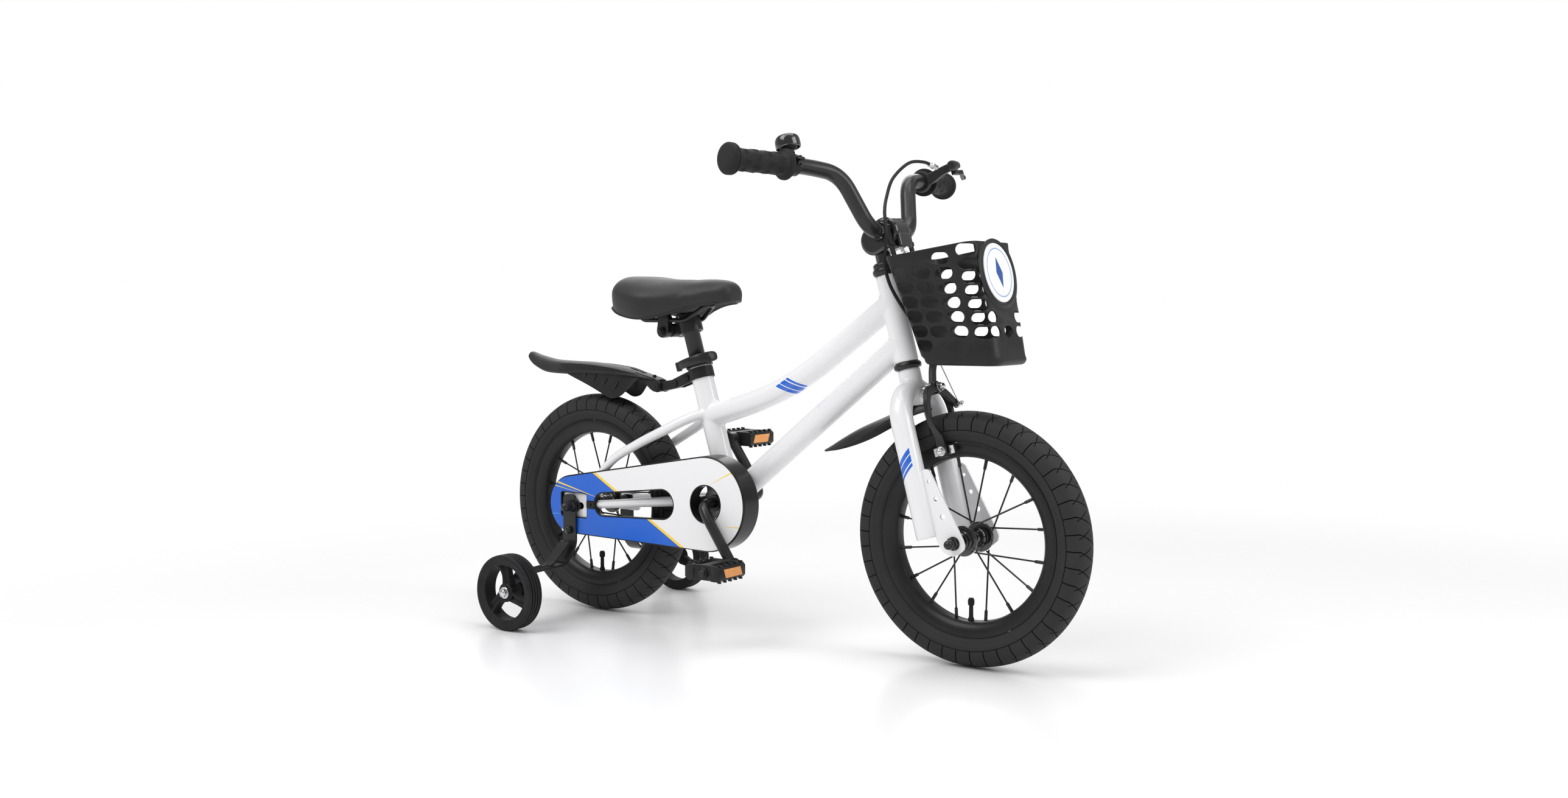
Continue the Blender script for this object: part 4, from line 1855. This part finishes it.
pedalSize = {"inner": 91.9, "outer": 153.9, "studs": 5, "studStep": 12.4}
pedalShape = [(31, -7), (27, -11), (-27, -11), (-31, -7), (-31, 7), (-27, 11), (27, 11), (31, 7)]


def pedalPiece(side):
    end = armPoint(-side * drive["crankLong"], 0)
    inner, outer = pedalSize["inner"], pedalSize["outer"]
    middle = (inner + outer) / 2
    body = prism(pedalShape, inner, outer)
    for way in (1, -1):
        body = cutBy(body, softened(block((15.5, 46, 40), (way * 15.2, middle, 0)), 3, 2))
    notch = softened(prism([(-16, -20), (16, -20), (16, 20), (-16, 20)], outer - 3.4, outer + 6), 3, 2)
    made = [softened(cutBy(body, notch), 0.8, 2)]
    for way in (1, -1):
        for k in range(pedalSize["studs"]):
            y = inner + 6 + k * pedalSize["studStep"]
            made += [block((5, 3.2, 2.6), (way * 26.6, y, up * 12.1)) for up in (1, -1)]
    made.append(rod((0, inner + 0.4, 0), (0, outer - 3, 0), 8.4, sides=32))
    made.append(wheelLathe([(0.01, outer - 4), (8, outer - 4), (8, outer - 1.4), (7, outer - 0.4),
                            (0.01, outer - 0.4)], 32))
    made = [painted(one, plasticBlack) for one in made]
    for way in (1, -1):
        corners = [(middle - 24, -6.4), (middle + 15, -6.4), (middle + 20, 6.4), (middle - 19, 6.4)]
        lens = setBy(prism(corners, -1.1, 1.1), moved(way * 30.2, 0, 0) @ crossways)
        made.append(painted(softened(lens, 0.4, 2), amber))
    whole = setBy(joined(made), moved(end.x, 0, end.z) @ Matrix.Diagonal((1, side, 1, 1)))
    return tidied(whole, 0.00001)


for side, word in bothSides:
    finished(pedalPiece(side), word + "PedalBody", "pedal_" + word, ["pedal_" + word], groundFrame,
             None, 35)
print("pedals made")


trainingPath = [(68.5, 196), (68.5, 112), (90.5, 86), (176, 83), (182, 77), (182, 42)]
trainingSize = {"x": -6, "wheelUp": 58, "wheelOut": 204, "barWide": (-19.5, 7.5), "braceWide": (-15.7, 3.7)}
bracePath = [(72.4, 150), (72.4, 126), (120, 86.4), (140, 84.5)]


# a strip of the given thickness bent along (y, z) corners
def bentStrip(corners, reach, thickness, wide):
    path = rounded([(y, 0, z) for y, z in corners], reach, 8)
    return crossPlate(bandOutline([(p.x, p.z) for p in path], thickness), *wide)


def keptInside(piece, tool):
    applied(piece, "BOOLEAN", operation="INTERSECT", object=tool, solver="EXACT")
    removed(tool)
    return piece


def bracketPiece():
    x, wheelZ = trainingSize["x"], trainingSize["wheelUp"]
    wide, braceWide = trainingSize["barWide"], trainingSize["braceWide"]
    bar = keptInside(bentStrip(trainingPath, 12, 4, wide), prism(roundedBox(*wide, 44, 194, 8, 6), 50, 200))
    brace = bentStrip(bracePath, 10, 3, braceWide)
    for tool in (prism(roundedBox(*braceWide, 60, 146.5, 9.6, 8), 50, 160),
                 setBy(prism(roundedBox(*braceWide, 40, 137, 9.6, 8), -120, -60), outTo(1))):
        brace = keptInside(brace, tool)
    bar = cutBy(bar, rod((0, 60, axleZ), (0, 75, axleZ), 5.4, sides=28),
                rod((x, 175, wheelZ), (x, 190, wheelZ), 5.4, sides=28))
    rivets = [dome(6, 3.4, (x, 73.9, 137), (0, 1, 0)), dome(6, 3.4, (x, 128.5, 86.9), (0, 0.05, 1))]
    boss = flatRing(5.5, 11, 62.4, 66.6, 40, (0, 0, axleZ), (0, 1, 0))
    return joined([softened(bar, 0.7, 2), softened(brace, 0.6, 2), boss] + rivets)


def trainingBolt():
    x, z = trainingSize["x"], trainingSize["wheelUp"]
    head = setBy(hexagon(8, 5.6), moved(x, 174.1, z) @ outTo(1))
    shank = rod((x, 174.2, z), (x, 219, z), 5, sides=28)
    washer = lathe([(5, 213.4), (8.6, 213.4), (9, 213.8), (9, 214.4), (8.6, 214.8), (5, 214.8)], 40, (x, 0, z),
                   (0, 1, 0))
    nut = setBy(hexagon(7, 4.2), moved(x, 214.8, z) @ outTo(1))
    return joined([head, shank, washer, nut, dome(4.8, 1.6, (x, 218.4, z), (0, 1, 0))])


# a broad spoke that twists from the hub to the rim and is hollowed on its outer face
def trainingSpoke(angle):
    stations = [(11, 8.6, 8, 0, 0), (18, 7.4, 7.6, 3, 4), (26, 6.9, 7.2, 6, 9), (34, 7.8, 7.4, 9, 16),
                (40, 9.6, 8.2, 12, 22), (44.5, 11.8, 9, 14, 26)]
    shape = ((-1, -0.7), (-0.8, -0.9), (0.8, -0.9), (1, -0.7), (1, 0.75), (0.7, 0.98), (0, 0.45), (-0.7, 0.98),
             (-1, 0.75))
    out = Vector((0, 1, 0))
    rings = []
    for reach, wide, deep, turn, twist in smoothRun(stations, 3):
        a, lean = math.radians(angle + turn), math.radians(twist)
        centre = roundAxle(reach, a, 0)
        aside = Vector((-math.sin(a), 0, math.cos(a)))
        u = aside * math.cos(lean) + out * math.sin(lean)
        w = out * math.cos(lean) - aside * math.sin(lean)
        rings.append([centre + u * wide * p + w * deep * q for p, q in shape])
    return softened(loft(rings), 0.5, 2, 45)


def trainingWheel():
    tread = [(42, -12), (43.4, -13), (52, -13.8), (54, -14), (56.2, -13.4), (57.6, -12)]
    for y in (-7.8, -2.6, 2.6, 7.8):
        tread += [(58, y - 1.0), (56.2, y - 0.8), (56.2, y + 0.8), (58, y + 1.0)]
    tread += [(57.6, 12), (56.2, 13.4), (54, 14), (52, 13.8), (49.6, 12.6), (46.5, 11.4), (43.4, 11.2), (42, 10)]
    hub = [(5.4, -18.8), (10.2, -18.8), (11, -18), (12, 0), (13.4, 4), (14.6, 7), (12.6, 8.8), (5.4, 8.8)]
    spokes = [trainingSpoke(90 + 120 * i) for i in range(3)]
    return joined([wheelLathe(tread, 96), wheelLathe(hub, 48)] + spokes)


for side, word in bothSides:
    flip = Matrix.Diagonal((1, side, 1, 1))
    wheelAt = moved(trainingSize["x"], side * trainingSize["wheelOut"], trainingSize["wheelUp"])
    for part, place, name, body, slot, look in (
            (bracketPiece, flip, "Bracket", "frame", "steel_black", steelBlack),
            (trainingBolt, flip, "Bolt", "frame", "chrome", chrome),
            (trainingWheel, wheelAt @ flip, "Wheel", "training_wheel_" + word, "rubber_black", rubberBlack)):
        node = "training_" + name.lower() + "_" + word
        finished(tidied(setBy(part(), place), 0.00001), word + "Training" + name, body, [node], groundFrame,
                 look, 40)
print("training wheels made")
